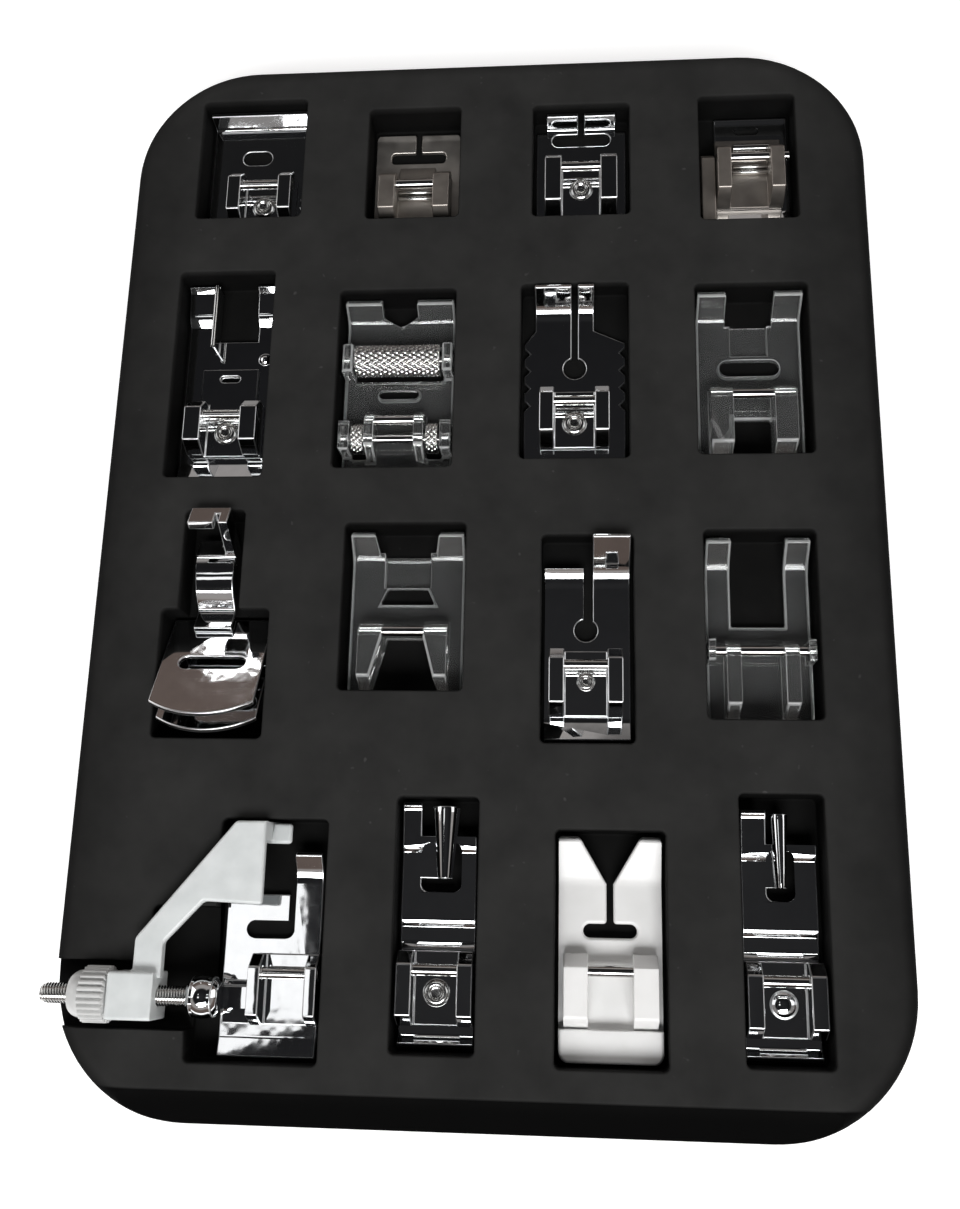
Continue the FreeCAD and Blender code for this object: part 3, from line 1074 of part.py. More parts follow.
for name, make_foot, x, y, depth, front_gap in FLAT_FEET:
    pocket_around(add_foot(name, make_foot(), x, y, depth), depth, front_gap)

# Gathering foot: heel in a deep pocket, clamp leaning back into a shallower slot
gather = gathering_foot()
add_foot("gathering", gather, GATHER_X, GATHER_HEEL_Y, GATHER_DEPTH, -GATHER_TILT)
lean = math.radians(GATHER_TILT)
gather_far = GATHER_HEEL_Y + (GATHER_UPPER_Z + GATHER_PLATE) * math.sin(lean) + POCKET_SIDE_GAP
gather_near = GATHER_HEEL_Y - GATHER_LENGTH * math.cos(lean) - POCKET_END_GAP
cut_pocket(GATHER_X - GATHER_UPPER_HALF - POCKET_SIDE_GAP, GATHER_X + GATHER_UPPER_HALF + POCKET_SIDE_GAP,
           gather_near, gather_far, GATHER_DEPTH)
clamp_back = NECK_Y + CLAMP_DEPTH
clamp_low = CLAMP_Z * math.cos(lean) - clamp_back * math.sin(lean)
neck_low = (GATHER_UPPER_Z + GATHER_PLATE) * math.cos(lean) - GATHER_NECK_BEND_R * (1 - math.cos(lean))
slot_floor = min(clamp_low, neck_low - GATHER_NECK_ROOM)
clamp_far = GATHER_HEEL_Y + clamp_back * math.cos(lean) + (CLAMP_Z + CLAMP_HEIGHT) * math.sin(lean)
clamp_x = GATHER_X + GATHER_SHANK_X
cut_pocket(clamp_x - CLAMP_HALF - CLAMP_SLOT_SIDE_GAP, clamp_x + CLAMP_HALF + CLAMP_SLOT_SIDE_GAP,
           gather_far - CUT_PAST - POCKET_CORNER_R, clamp_far + CLAMP_SLOT_END_GAP,
           GATHER_DEPTH - slot_floor)

# Blind hem foot: its own pocket, a bay beside it, and a channel out through the rim for the screw
blind = blind_hem_foot()
add_foot("blind_hem", blind, BLIND_X, BLIND_Y, BLIND_DEPTH)
blind_left = BLIND_X - BLIND_LEFT - POCKET_SIDE_GAP
blind_right = BLIND_X + SNAP_HALF + BLIND_ARM_WIDTH + POCKET_SIDE_GAP
cut_pocket(blind_left, blind_right, BLIND_Y - BLIND_REAR - POCKET_END_GAP,
           BLIND_Y + GUIDE_PLATE_FRONT + POCKET_END_GAP, BLIND_DEPTH)
screw_y = BLIND_Y + SCREW_Y
cut_pocket(blind_left - BLIND_LEFT_GAP, blind_left + 2 * POCKET_CORNER_R,
           BLIND_Y - BLIND_REAR - POCKET_END_GAP, screw_y, BLIND_DEPTH)
channel_half = KNOB_R + CHANNEL_SIDE_GAP
channel_depth = BLIND_DEPTH - SCREW_Z + KNOB_R + CHANNEL_FLOOR_GAP
cut_pocket(-TRAY_WIDTH, blind_left + 2 * POCKET_CORNER_R, screw_y - channel_half, screw_y + channel_half,
           channel_depth)
bay_left = BLIND_X + GUIDE_ARM_INNER_X - GUIDE_TRAVEL
cut_pocket(bay_left, blind_left + 2 * POCKET_CORNER_R, screw_y, BLIND_Y + BAY_FRONT, channel_depth)

# Tray
half_width = TRAY_WIDTH / 2
half_length = TRAY_LENGTH / 2
foam = rounded_box(-half_width, half_width, -half_length, half_length, BACKING_THICKNESS, TRAY_TOP,
                   TRAY_CORNER_R)
rim = [edge for edge in foam.Edges if edge.BoundBox.ZMin > TRAY_TOP - SEAT_GAP]
foam = foam.makeFillet(RIM_FILLET, rim)
bevel = side_prism([(TRAY_BEVEL * 2 - half_length, TRAY_TOP + TRAY_BEVEL_DROP),
                    (-TRAY_BEVEL - half_length, TRAY_TOP - TRAY_BEVEL_DROP * 2),
                    (-TRAY_BEVEL - half_length, TRAY_TOP + TRAY_BEVEL_DROP)], -TRAY_WIDTH, TRAY_WIDTH)
foam = foam.cut(bevel)
nodes["tray_foam"] = foam.cut(pockets)
nodes["tray_backing"] = rounded_box(-half_width, half_width, -half_length, half_length, 0, BACKING_THICKNESS,
                                    TRAY_CORNER_R)

for name, shape in nodes.items():
    shape.exportStep("parts/" + name + ".step")
    print(name, len(shape.Solids), round(shape.Volume, 2), shape.isValid())
print("nodes", len(nodes))
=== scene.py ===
import json
import math

import bmesh
import bpy
from mathutils import Matrix, Vector

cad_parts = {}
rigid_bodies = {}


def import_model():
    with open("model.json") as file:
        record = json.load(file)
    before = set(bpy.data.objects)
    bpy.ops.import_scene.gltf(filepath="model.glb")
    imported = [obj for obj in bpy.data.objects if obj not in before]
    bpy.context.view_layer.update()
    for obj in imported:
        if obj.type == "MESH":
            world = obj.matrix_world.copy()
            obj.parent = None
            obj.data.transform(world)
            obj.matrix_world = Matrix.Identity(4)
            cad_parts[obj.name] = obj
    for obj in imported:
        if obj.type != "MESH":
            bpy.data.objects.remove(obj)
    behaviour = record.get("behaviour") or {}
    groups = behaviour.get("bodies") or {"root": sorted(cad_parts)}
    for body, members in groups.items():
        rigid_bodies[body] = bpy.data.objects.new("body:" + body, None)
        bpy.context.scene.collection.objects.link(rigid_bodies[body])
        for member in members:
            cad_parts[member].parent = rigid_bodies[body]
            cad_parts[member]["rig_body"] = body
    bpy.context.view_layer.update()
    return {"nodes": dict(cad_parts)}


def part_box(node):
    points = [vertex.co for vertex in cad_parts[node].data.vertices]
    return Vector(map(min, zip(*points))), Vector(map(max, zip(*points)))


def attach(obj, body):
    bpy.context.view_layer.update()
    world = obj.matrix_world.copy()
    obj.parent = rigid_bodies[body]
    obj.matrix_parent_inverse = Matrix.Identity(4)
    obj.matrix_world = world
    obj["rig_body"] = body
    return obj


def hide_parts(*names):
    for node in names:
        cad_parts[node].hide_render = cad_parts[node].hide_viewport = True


for leftover in list(bpy.data.objects):
    bpy.data.objects.remove(leftover)
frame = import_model()
NODES = frame["nodes"]
SLOTS = {node: NODES[node].material_slots[0].material.name for node in NODES}
MM = 0.001
FULL_TURN = 2 * math.pi


# Easing of sharp edges: lengths in millimetres, angles in degrees, the speck in square metres

EASE = {"foam": 0.45, "backing": 0.3, "chrome": 0.24, "nickel": 0.24, "steel": 0.12, "clear_plastic": 0.45,
        "white_plastic": 0.6, "guide_plastic": 0.6, "knob_plastic": 0.3}
SEGMENTS = {"foam": 3, "white_plastic": 4, "guide_plastic": 4, "clear_plastic": 3}
FEW_SEGMENTS = 2
EASE_ANGLE = 32.0
SMOOTH_ANGLE = 42.0
WELD = 0.002
FLAT_ANGLE = 0.3
EASE_TURNS = 7
FOLD_DOT = -0.9
FOLD_REACH = 2.2
FOLD_SHRINK = 0.4
SMALL_SHARE = 0.3
SPECK = 1e-10


# Turned pieces: lengths in millimetres, angles in degrees

TURNED_ANGLE = 50.0
ROUND = 64

KNURL_DEPTH = 0.36
KNURL_EDGE = 0.12
KNURL_CREST = 1.25
KNURL_STEPS = 8
FRONT_KNURLS = 20
FRONT_PITCH = 1.7
REAR_KNURLS = 18
REAR_PITCH = 1.2
REAR_ROLLER_WIDTH = 2.4

THREAD_DEPTH = 0.28
THREAD_PITCH = 0.5
THREAD_STARTS = 2
THREAD_FADE = 0.9
THREAD_CREST = 1.3
THREAD_STEPS = 8
THREAD_ROUND = 40
THREAD_ANGLE = 60.0
SCREW_TIP = 0.25

KNOB_PLAY = 0.06
KNOB_DOME = 2.3
KNOB_SHOULDER = 1.5
KNOB_NECK = 0.75
DOME_STEPS = 8
RIBS = 26
RIB_STEPS = 10
RIB_DEPTH = 0.6
RIB_CREST = 1.6
RIB_START = 0.15
RIB_RISE = 0.2
RIB_END = 0.35
# How far each ring lies from the knob's inner face, and below the foot of its ribs
KNOB_INNER = [(0.05, 0.1), (0.0, 0.3)]

RIVET_STEM = 1.2
RIVET_TIP = 0.1
RIVET_HEIGHT = 0.7
RIVET_UNDER = 0.98
# Share of the head's radius and of its height, from the rim of a rivet's head to its dished middle
RIVET_HEAD = [(1.0, 0.0), (0.97, 0.25), (0.88, 0.62), (0.76, 0.9), (0.66, 1.0), (0.57, 0.98), (0.49, 0.8),
              (0.43, 0.5), (0.36, 0.36), (0.2, 0.32), (0.04, 0.32)]

BAR_HALF = 3.8
BAR_ROUND = 32
BAR_TAPER = 0.25
BAR_END = 0.5
# For each foot, how far its bars lie behind the pin and above it, and their radius
BARS = {
    "satin_stitch": [(0.5, -2.4, 0.5), (1.9, -2.4, 0.5)],
    "cording": [(-3.4, -2.0, 0.9), (0.7, -2.4, 0.5), (1.9, -2.4, 0.5)],
    "overcast": [(0.1, -2.5, 0.4)],
}

LUG_LENGTH = 4.0
LUG_BALL_R = 3.65
LUG_OPEN = 50.0
LUG_STEPS = 20

BEAD_R = 0.5
BEAD_ROUND = 32
SAME_HEIGHT = 0.01

TURNED = ["roller_front_roller", "roller_rear_rollers", "blind_hem_screw", "blind_hem_knob"]
# Painted shade: these nickel parts take a darker copy of the nickel look, though they are the same metal
SHADED_NICKEL_PARTS = {"satin_stitch_bracket": "shaded_nickel", "cording_bracket": "shaded_nickel",
        "cording_guide": "shaded_nickel"}


# Looks: the range that a noise mostly keeps to, and the painted shade that darkens the foam by place

NOISE_LOW = 0.3
NOISE_HIGH = 0.7
BRUSHED = (1.0, 14.0, 1.0)
FLOW = (5.0, 0.7, 5.0)
RIM_ROUGHNESS = 0.3
# Painted shade on the foam: share of the foam's colour at both ends of a range, and the range: metres, or
# the Z of the normal
FRONT_SHADE = (0.06, 1.0, -0.0992, -0.0988)
SIDE_SHADE = (0.6, 1.0, 0.4, 0.97)
DEEP_SHADE = (0.3, 1.0, 0.0180, 0.0196)
EDGE_SHADE = (1.0, 0.6, 0.060, 0.0745)


# Camera, floor and light: lengths in metres unless a name says otherwise

CAMERA_AT_MM = (18.677, -71.967, 239.560)
CAMERA_RIGHT = (0.99651, 0.02199, -0.08050)
CAMERA_UP = (-0.00057, 0.96644, 0.25688)
LENS_MM = 36.83
SENSOR_MM = 36.0
NEAREST = 0.01
FLOOR_REACH = 3.0
FLOOR_Z = -0.0002
FLOOR_GLOW = 0.5
# Colours of the room by the height of the direction, from the horizon to straight up
ROOM = [(0.0, (0.10, 0.077, 0.067)), (0.32, (0.14, 0.108, 0.095)), (0.44, (0.36, 0.335, 0.32)),
        (0.64, (0.34, 0.32, 0.31)), (0.74, (0.014, 0.014, 0.014)), (0.86, (0.011, 0.011, 0.012)),
        (0.95, (0.015, 0.015, 0.016)), (1.0, (0.022, 0.022, 0.023))]
# Name, place, aim, width, height and watts of each lamp
LAMPS = [
    ("key", (0.10, -0.85, 0.95), (0, 0, 0), 0.9, 0.5, 15.0),
    ("key_left", (-0.47, -0.857, 0.943), (-0.05, 0.04, 0.014), 0.2, 0.1, 0.65),
    ("upper_left", (-0.35, -0.10, 1.10), (-0.03, -0.08, 0), 0.15, 0.16, 0.095),
    ("heel", (-0.36, 0.18, 1.09), (-0.045, -0.09, 0), 0.12, 0.06, 0.028),
    ("left", (-1.1, 0.32, 0.55), (0, 0, 0), 0.9, 0.9, 4.0),
    ("right", (1.1, 0.32, 0.55), (0, 0, 0), 0.9, 0.9, 3.4),
    ("window", (-0.46, 1.386, 0.347), (-0.046, -0.022, 0.02), 0.075, 0.06, 0.085),
]


# Shader nodes

def new_material(name):
    material = bpy.data.materials.new(name)
    material.use_nodes = True
    tree = material.node_tree
    shader = next(n for n in tree.nodes if n.type == "BSDF_PRINCIPLED")
    return material, tree, shader


def fill(tree, node, inputs):
    """Links each input to an output, or sets it to a value."""
    for key, value in inputs.items():
        if isinstance(value, bpy.types.NodeSocket):
            tree.links.new(value, node.inputs[key])
        else:
            node.inputs[key].default_value = value


def add_node(tree, kind, inputs=None, **settings):
    node = tree.nodes.new(kind)
    for key, value in settings.items():
        setattr(node, key, value)
    fill(tree, node, inputs or {})
    return node


def place(tree):
    return add_node(tree, "ShaderNodeTexCoord").outputs["Object"]


def split(tree, vector):
    return add_node(tree, "ShaderNodeSeparateXYZ", {"Vector": vector}).outputs


def rim_share(tree):
    return add_node(tree, "ShaderNodeAttribute", attribute_name="rim").outputs["Fac"]


def grain(tree, where, scale, detail=2.0, roughness=0.5):
    inputs = {"Vector": where, "Scale": scale, "Detail": detail, "Roughness": roughness}
    return add_node(tree, "ShaderNodeTexNoise", inputs).outputs["Fac"]


def stretched(tree, where, scale):
    return add_node(tree, "ShaderNodeMapping", {"Vector": where, "Scale": scale}).outputs["Vector"]


def ramp(tree, value, stops):
    node = add_node(tree, "ShaderNodeValToRGB", {"Fac": value})
    elements = node.color_ramp.elements
    while len(elements) < len(stops):
        elements.new(0.5)
    for element, (at, colour) in zip(elements, stops):
        element.position = at
        element.color = (*colour, 1.0)
    return node.outputs["Color"]


def two_tones(tree, noise, dark, light):
    return ramp(tree, noise, [(NOISE_LOW, dark), (NOISE_HIGH, light)])


def spread(tree, value, low, high, from_low=0.0, from_high=1.0):
    inputs = {"Value": value, "From Min": from_low, "From Max": from_high, "To Min": low, "To Max": high}
    return add_node(tree, "ShaderNodeMapRange", inputs).outputs["Result"]


def combined(tree, operation, *values):
    inputs = dict(enumerate(values))
    return add_node(tree, "ShaderNodeMath", inputs, operation=operation).outputs["Value"]


def bumped(tree, shader, height, strength, distance):
    inputs = {"Height": height, "Strength": strength, "Distance": distance}
    normal = add_node(tree, "ShaderNodeBump", inputs).outputs["Normal"]
    fill(tree, shader, {"Normal": normal})


# Materials

def foam_material():
    material, tree, shader = new_material("foam_look")
    where = place(tree)
    cloud = grain(tree, where, scale=90.0, detail=4.0, roughness=0.6)
    tone = two_tones(tree, cloud, dark=(0.0205, 0.0206, 0.0203), light=(0.0300, 0.0300, 0.0294))
    dust = grain(tree, where, scale=620.0, detail=1.0)
    specks = ramp(tree, dust, [(0.77, (0, 0, 0)), (0.84, (0.024, 0.024, 0.024))])
    both = add_node(tree, "ShaderNodeMix", {"Factor": 1.0, "A": tone, "B": specks}, data_type="RGBA",
                    blend_type="ADD").outputs["Result"]
    spot = split(tree, where)
    facing = split(tree, add_node(tree, "ShaderNodeNewGeometry").outputs["Normal"])
    # Painted shade: the foam is darkened at its front edge, on steep faces, low in the pockets and towards
    # its left and right sides
    front = spread(tree, spot["Y"], *FRONT_SHADE)
    side = spread(tree, facing["Z"], *SIDE_SHADE)
    deep = spread(tree, spot["Z"], *DEEP_SHADE)
    edge = spread(tree, combined(tree, "ABSOLUTE", spot["X"]), *EDGE_SHADE)
    share = combined(tree, "MULTIPLY", combined(tree, "MULTIPLY", front, side),
                     combined(tree, "MULTIPLY", deep, edge))
    foam_tone_with_painted_shade = add_node(tree, "ShaderNodeVectorMath", {"Vector": both, "Scale": share}, operation="SCALE")
    fill(tree, shader, {"Base Color": foam_tone_with_painted_shade.outputs["Vector"], "Roughness": 0.86, "Specular IOR Level": 0.04})
    cells = grain(tree, where, scale=1900.0, detail=3.0, roughness=0.7)
    bumped(tree, shader, cells, strength=0.15, distance=0.00008)
    return material


def backing_material():
    material, tree, shader = new_material("backing_look")
    where = place(tree)
    cloud = grain(tree, where, scale=300.0, detail=3.0)
    tone = two_tones(tree, cloud, dark=(0.010, 0.010, 0.011), light=(0.018, 0.018, 0.019))
    fill(tree, shader, {"Base Color": tone, "Roughness": 0.6})
    bumped(tree, shader, grain(tree, where, scale=2500.0), strength=0.2, distance=0.00004)
    return material


def metal_material(name, light, dark, roughness, ripple, brushed=None):
    """roughness holds the lowest and the highest of the flats. The eased rims are rougher."""
    material, tree, shader = new_material(name)
    where = place(tree)
    smudge = grain(tree, where, scale=260.0, detail=3.0, roughness=0.6)
    flats = spread(tree, smudge, *roughness, NOISE_LOW, NOISE_HIGH)
    rims = spread(tree, rim_share(tree), 0.0, RIM_ROUGHNESS)
    fill(tree, shader, {"Base Color": two_tones(tree, smudge, dark, light), "Metallic": 1.0,
                        "Roughness": combined(tree, "MAXIMUM", flats, rims)})
    if brushed:
        height = grain(tree, stretched(tree, where, brushed), scale=900.0)
    else:
        height = grain(tree, where, scale=170.0)
    bumped(tree, shader, height, strength=ripple, distance=0.0001)
    return material


def clear_material():
    material, tree, shader = new_material("clear_plastic_look")
    where = place(tree)
    haze = grain(tree, where, scale=350.0)
    # Painted highlight: the eased rims let less light through and show more of the pale base colour, so the
    # edges read as bright outlines
    fill(tree, shader, {"Base Color": (0.93, 0.95, 0.95, 1.0), "IOR": 1.49,
                        "Transmission Weight": spread(tree, rim_share(tree), 0.96, 0.72),
                        "Roughness": spread(tree, haze, 0.05, 0.11, NOISE_LOW, NOISE_HIGH)})
    flow = grain(tree, stretched(tree, where, FLOW), scale=150.0, detail=1.0)
    bumped(tree, shader, flow, strength=0.14, distance=0.00006)
    return material


def plastic_material(name, light, dark, roughness, scatter, through=0.0):
    material, tree, shader = new_material(name)
    where = place(tree)
    cloud = grain(tree, where, scale=220.0, detail=3.0)
    fill(tree, shader, {"Base Color": two_tones(tree, cloud, dark, light),
                        "Roughness": roughness, "Subsurface Weight": scatter,
                        "Subsurface Radius": (1.0, 1.0, 1.0), "Subsurface Scale": 0.0008,
                        "Transmission Weight": through})
    bumped(tree, shader, grain(tree, where, scale=1400.0), strength=0.08, distance=0.00004)
    return material


LOOKS = {
    "foam": foam_material(),
    "backing": backing_material(),
    "chrome": metal_material("chrome_look", light=(0.80, 0.81, 0.82), dark=(0.74, 0.75, 0.76),
                             roughness=(0.03, 0.06), ripple=0.4),
    "nickel": metal_material("nickel_look", light=(0.71, 0.67, 0.625), dark=(0.60, 0.565, 0.525),
                             roughness=(0.42, 0.50), ripple=0.05, brushed=BRUSHED),
    # Painted shade: the nickel look made darker, for the satin stitch and cording brackets and the cording
    # guide
    "shaded_nickel": metal_material("shaded_nickel_look", light=(0.425, 0.39, 0.355), dark=(0.355, 0.325, 0.298),
                                  roughness=(0.42, 0.50), ripple=0.05, brushed=BRUSHED),
    "steel": metal_material("steel_look", light=(0.70, 0.70, 0.69), dark=(0.58, 0.58, 0.57),
                            roughness=(0.08, 0.15), ripple=0.1),
    "rivet": metal_material("rivet_look", light=(0.62, 0.62, 0.61), dark=(0.50, 0.50, 0.49),
                            roughness=(0.16, 0.24), ripple=0.05),
    "clear_plastic": clear_material(),
    "white_plastic": plastic_material("white_plastic_look", light=(0.86, 0.86, 0.855),
                                      dark=(0.82, 0.82, 0.81),
                                      roughness=0.38, scatter=0.2),
    "guide_plastic": plastic_material("guide_plastic_look", light=(0.80, 0.83, 0.83),
                                      dark=(0.69, 0.72, 0.72),
                                      roughness=0.32, scatter=0.3, through=0.1),
    "knob_plastic": plastic_material("knob_plastic_look", light=(0.62, 0.625, 0.62),
                                     dark=(0.54, 0.545, 0.54),
                                     roughness=0.25, scatter=0.1),
}


# Pieces

def new_piece(name, mesh):
    piece = bpy.data.objects.new(name, mesh)
    bpy.context.scene.collection.objects.link(piece)
    return piece


def dress(piece, node, look):
    """Gives a piece its look, and the body of a CAD node."""
    piece.data.materials.clear()
    piece.data.materials.append(LOOKS[look])
    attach(piece, NODES[node]["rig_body"])


def show(piece, node, look=None):
    """Puts a piece in the place of a CAD node."""
    dress(piece, node, look or SLOTS[node])
    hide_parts(node)
    return piece


def mesh_from(shape, name):
    mesh = bpy.data.meshes.new(name)
    shape.to_mesh(mesh)
    shape.free()
    return mesh


def creased(mesh, angle):
    mesh.set_sharp_from_angle(angle=math.radians(angle))


def even_normals(piece):
    normals = piece.modifiers.new("normals", "WEIGHTED_NORMAL")
    normals.keep_sharp = True


def folded(mesh):
    """Middles of the edges where a mesh folds back on itself."""
    shape = bmesh.new()
    shape.from_mesh(mesh)
    bmesh.ops.triangulate(shape, faces=shape.faces)
    shape.normal_update()
    spots = []
    for edge in shape.edges:
        faces = edge.link_faces
        if len(faces) != 2 or faces[0].normal.dot(faces[1].normal) > FOLD_DOT:
            continue
        if min(face.calc_area() for face in faces) > SPECK:
            spots.append((edge.verts[0].co + edge.verts[1].co) / 2)
    shape.free()
    return spots


def off_segment(spot, start, end):
    along = end - start
    share = min(1.0, max(0.0, (spot - start).dot(along) / along.length_squared))
    return (start + along * share - spot).length


def edge_shares(mesh):
    """Ends of a mesh's edges, and 1 for each that is sharp or 0."""
    shape = bmesh.new()
    shape.from_mesh(mesh)
    shape.edges.ensure_lookup_table()
    sharp = math.radians(EASE_ANGLE)
    ends = []
    shares = []
    for edge in shape.edges:
        ends.append((edge.verts[0].co.copy(), edge.verts[1].co.copy()))
        shares.append(1.0 if len(edge.link_faces) == 2 and edge.calc_face_angle() > sharp else 0.0)
    shape.free()
    return ends, shares


def ease(piece, width, segments):
    """Rounds a piece's sharp edges, less or not at all where a full rounding would fold over.
    The rounded faces get a rim of 1, and the rest 0."""
    mesh = piece.data
    ends, shares = edge_shares(mesh)
    weight = mesh.attributes.new("bevel_weight_edge", "FLOAT", "EDGE")
    mesh.materials.append(None)
    mesh.materials.append(None)
    bevel = piece.modifiers.new("edges", "BEVEL")
    bevel.material = 1
    bevel.width = width
    bevel.segments = segments
    bevel.limit_method = "WEIGHT"
    bevel.use_clamp_overlap = False
    bevel.loop_slide = False
    for _ in range(EASE_TURNS):
        weight.data.foreach_set("value", shares)
        mesh.update()
        bpy.context.view_layer.update()
        rounded = piece.evaluated_get(bpy.context.evaluated_depsgraph_get())
        result = bpy.data.meshes.new_from_object(rounded)
        spots = folded(result)
        if not spots:
            break
        for index, (start, end) in enumerate(ends):
            if shares[index] and any(off_segment(spot, start, end) < FOLD_REACH * width for spot in spots):
                shares[index] = shares[index] * FOLD_SHRINK if shares[index] > SMALL_SHARE else 0.0
    piece.modifiers.remove(bevel)
    piece.data = result
    result.name = piece.name
    rim = result.attributes.new("rim", "FLOAT", "FACE")
    for face in result.polygons:
        rim.data[face.index].value = float(face.material_index)
        face.material_index = 0
    result.shade_smooth()
    creased(result, SMOOTH_ANGLE)
    even_normals(piece)


def edged(node):
    """A copy of a CAD node's shape with its sharp edges eased."""
    slot = SLOTS[node]
    shape = bmesh.new()
    shape.from_mesh(NODES[node].data)
    bmesh.ops.remove_doubles(shape, verts=shape.verts, dist=WELD * MM)
    flat = math.radians(FLAT_ANGLE)
    bmesh.ops.dissolve_limit(shape, angle_limit=flat, verts=shape.verts, edges=shape.edges)
    piece = new_piece(node + "_eased", mesh_from(shape, node + "_eased"))
    ease(piece, EASE[slot] * MM, SEGMENTS.get(slot, FEW_SEGMENTS))
    show(piece, node, SHADED_NICKEL_PARTS.get(node))


# Turned pieces: rings of points about an axis along X or Z

def extent(node):
    """Low corner, high corner and centre of a CAD node's box."""
    low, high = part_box(node)
    return low, high, (low + high) / 2


def round_radius(node):
    """Radius of a CAD node that is round about X."""
    low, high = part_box(node)
    return (high.z - low.z) / 2


def turned(name, axis, centre, rings, around, closed=False):
    """rings holds a place along the axis and a function from angle to radius, from one end to the other.
    closed joins the last ring to the first, for a piece with a bore."""
    shape = bmesh.new()
    loops = []
    for at, radius in rings:
        loop = []
        for step in range(around):
            turn = FULL_TURN * step / around
            r = radius(turn)
            if axis == "X":
                spot = (at, centre[1] + r * math.cos(turn), centre[2] + r * math.sin(turn))
            else:
                spot = (centre[0] + r * math.cos(turn), centre[1] + r * math.sin(turn), at)
            loop.append(shape.verts.new(spot))
        loops.append(loop)
    pairs = list(zip(loops, loops[1:]))
    if closed:
        pairs.append((loops[-1], loops[0]))
    else:
        shape.faces.new(loops[0])
        shape.faces.new(loops[-1])
    for one, other in pairs:
        for step in range(around):
            after = (step + 1) % around
            shape.faces.new((one[step], one[after], other[after], other[step]))
    bmesh.ops.recalc_face_normals(shape, faces=shape.faces)
    mesh = mesh_from(shape, name)
    mesh.shade_smooth()
    return new_piece(name, mesh)


def steady(radius):
    return lambda turn: radius


def wave(value):
    """A rise and fall between 0 and 1 as value grows by 1."""
    return 1.0 - abs(2.0 * (value % 1.0) - 1.0)


def knurl(name, x0, x1, radius, bore, centre, count, pitch):
    """A roller whose rim is cut into small diamonds."""
    depth = KNURL_DEPTH * MM
    edge = KNURL_EDGE * MM

    def rim(at):
        def radius_at(turn):
            around = turn * count / FULL_TURN
            along = (at - x0) / pitch
            high = min(wave(around + along), wave(around - along))
            return radius - depth * (1.0 - min(1.0, KNURL_CREST * high))
        return radius_at
    steps = int((x1 - x0) / pitch * KNURL_STEPS)
    rings = [(x0, steady(bore)), (x0, steady(radius - depth - edge))]
    for step in range(steps + 1):
        at = x0 + edge + (x1 - x0 - 2 * edge) * step / steps
        rings.append((at, rim(at)))
    rings += [(x1, steady(radius - depth - edge)), (x1, steady(bore))]
    return turned(name, "X", centre, rings, count * KNURL_STEPS, closed=True)


def front_roller():
    low, high, centre = extent("roller_front_roller")
    radius = round_radius("roller_front_roller")
    bore = round_radius("roller_front_axle")
    pitch = FRONT_PITCH * MM
    piece = knurl("front_roller_knurled", low.x, high.x, radius, bore, centre, FRONT_KNURLS, pitch)
    even_normals(show(piece, "roller_front_roller"))


def rear_rollers():
    low, high, centre = extent("roller_rear_rollers")
    radius = round_radius("roller_rear_rollers")
    bore = round_radius("roller_rear_axle")
    width = REAR_ROLLER_WIDTH * MM
    pitch = REAR_PITCH * MM
    left = knurl("rear_rollers_knurled", low.x, low.x + width, radius, bore, centre, REAR_KNURLS, pitch)
    right = knurl("rear_roller_right", high.x - width, high.x, radius, bore, centre, REAR_KNURLS, pitch)
    shape = bmesh.new()
    shape.from_mesh(left.data)
    shape.from_mesh(right.data)
    shape.to_mesh(left.data)
    shape.free()
    left.data.shade_smooth()
    bpy.data.objects.remove(right)
    even_normals(show(left, "roller_rear_rollers"))


def screw():
    """The adjusting screw, with its thread cut as two helices."""
    low, high, centre = extent("blind_hem_screw")
    crest = round_radius("blind_hem_screw")
    root = crest - THREAD_DEPTH * MM
    pitch = THREAD_PITCH * MM

    def thread(at):
        fade = min(1.0, (at - low.x) / (THREAD_FADE * MM))

        def radius_at(turn):
            high_share = wave((at - low.x) / pitch - THREAD_STARTS * turn / FULL_TURN)
            return root + (crest - root) * fade * min(1.0, THREAD_CREST * high_share)
        return radius_at
    steps = int((high.x - low.x) / pitch * THREAD_STEPS)
    rings = [(low.x, steady(root - SCREW_TIP * MM))]
    for step in range(1, steps + 1):
        at = low.x + (high.x - low.x) * step / steps
        rings.append((at, thread(at)))
    piece = turned("screw_threaded", "X", centre, rings, THREAD_ROUND)
    creased(piece.data, THREAD_ANGLE)
    show(piece, "blind_hem_screw")


def knob():
    """The adjusting knob: a domed outer end, then a rim of straight ribs."""
    low, high, centre = extent("blind_hem_knob")
    outer = round_radius("blind_hem_knob")
    bore = round_radius("blind_hem_screw") + KNOB_PLAY * MM
    deep = RIB_DEPTH * MM
    dome = KNOB_DOME * MM
    neck = KNOB_NECK * MM

    def rim(share):
        def radius_at(turn):
            rib = min(1.0, RIB_CREST * wave(turn * RIBS / FULL_TURN))
            return outer - deep * share * (1.0 - rib) - neck * (1.0 - share)
        return radius_at
    rings = [(low.x, steady(bore))]
    for step in range(DOME_STEPS + 1):
        angle = math.pi / 2 * step / DOME_STEPS
        shoulder = outer - neck - KNOB_SHOULDER * MM * (1.0 - math.sin(angle))
        rings.append((low.x + dome * (1.0 - math.cos(angle)), steady(shoulder)))
    for share in (0.0, 0.5, 1.0):
        rings.append((low.x + dome + (RIB_START + RIB_RISE * share) * MM, rim(share)))
    rings.append((high.x - RIB_END * MM, rim(1.0)))
    for back, below in KNOB_INNER:
        rings.append((high.x - back * MM, steady(outer - deep - below * MM)))
    rings.append((high.x, steady(bore)))
    piece = turned("knob_ribbed", "X", centre, rings, RIBS * RIB_STEPS, closed=True)
    creased(piece.data, TURNED_ANGLE)
    even_normals(show(piece, "blind_hem_knob"))


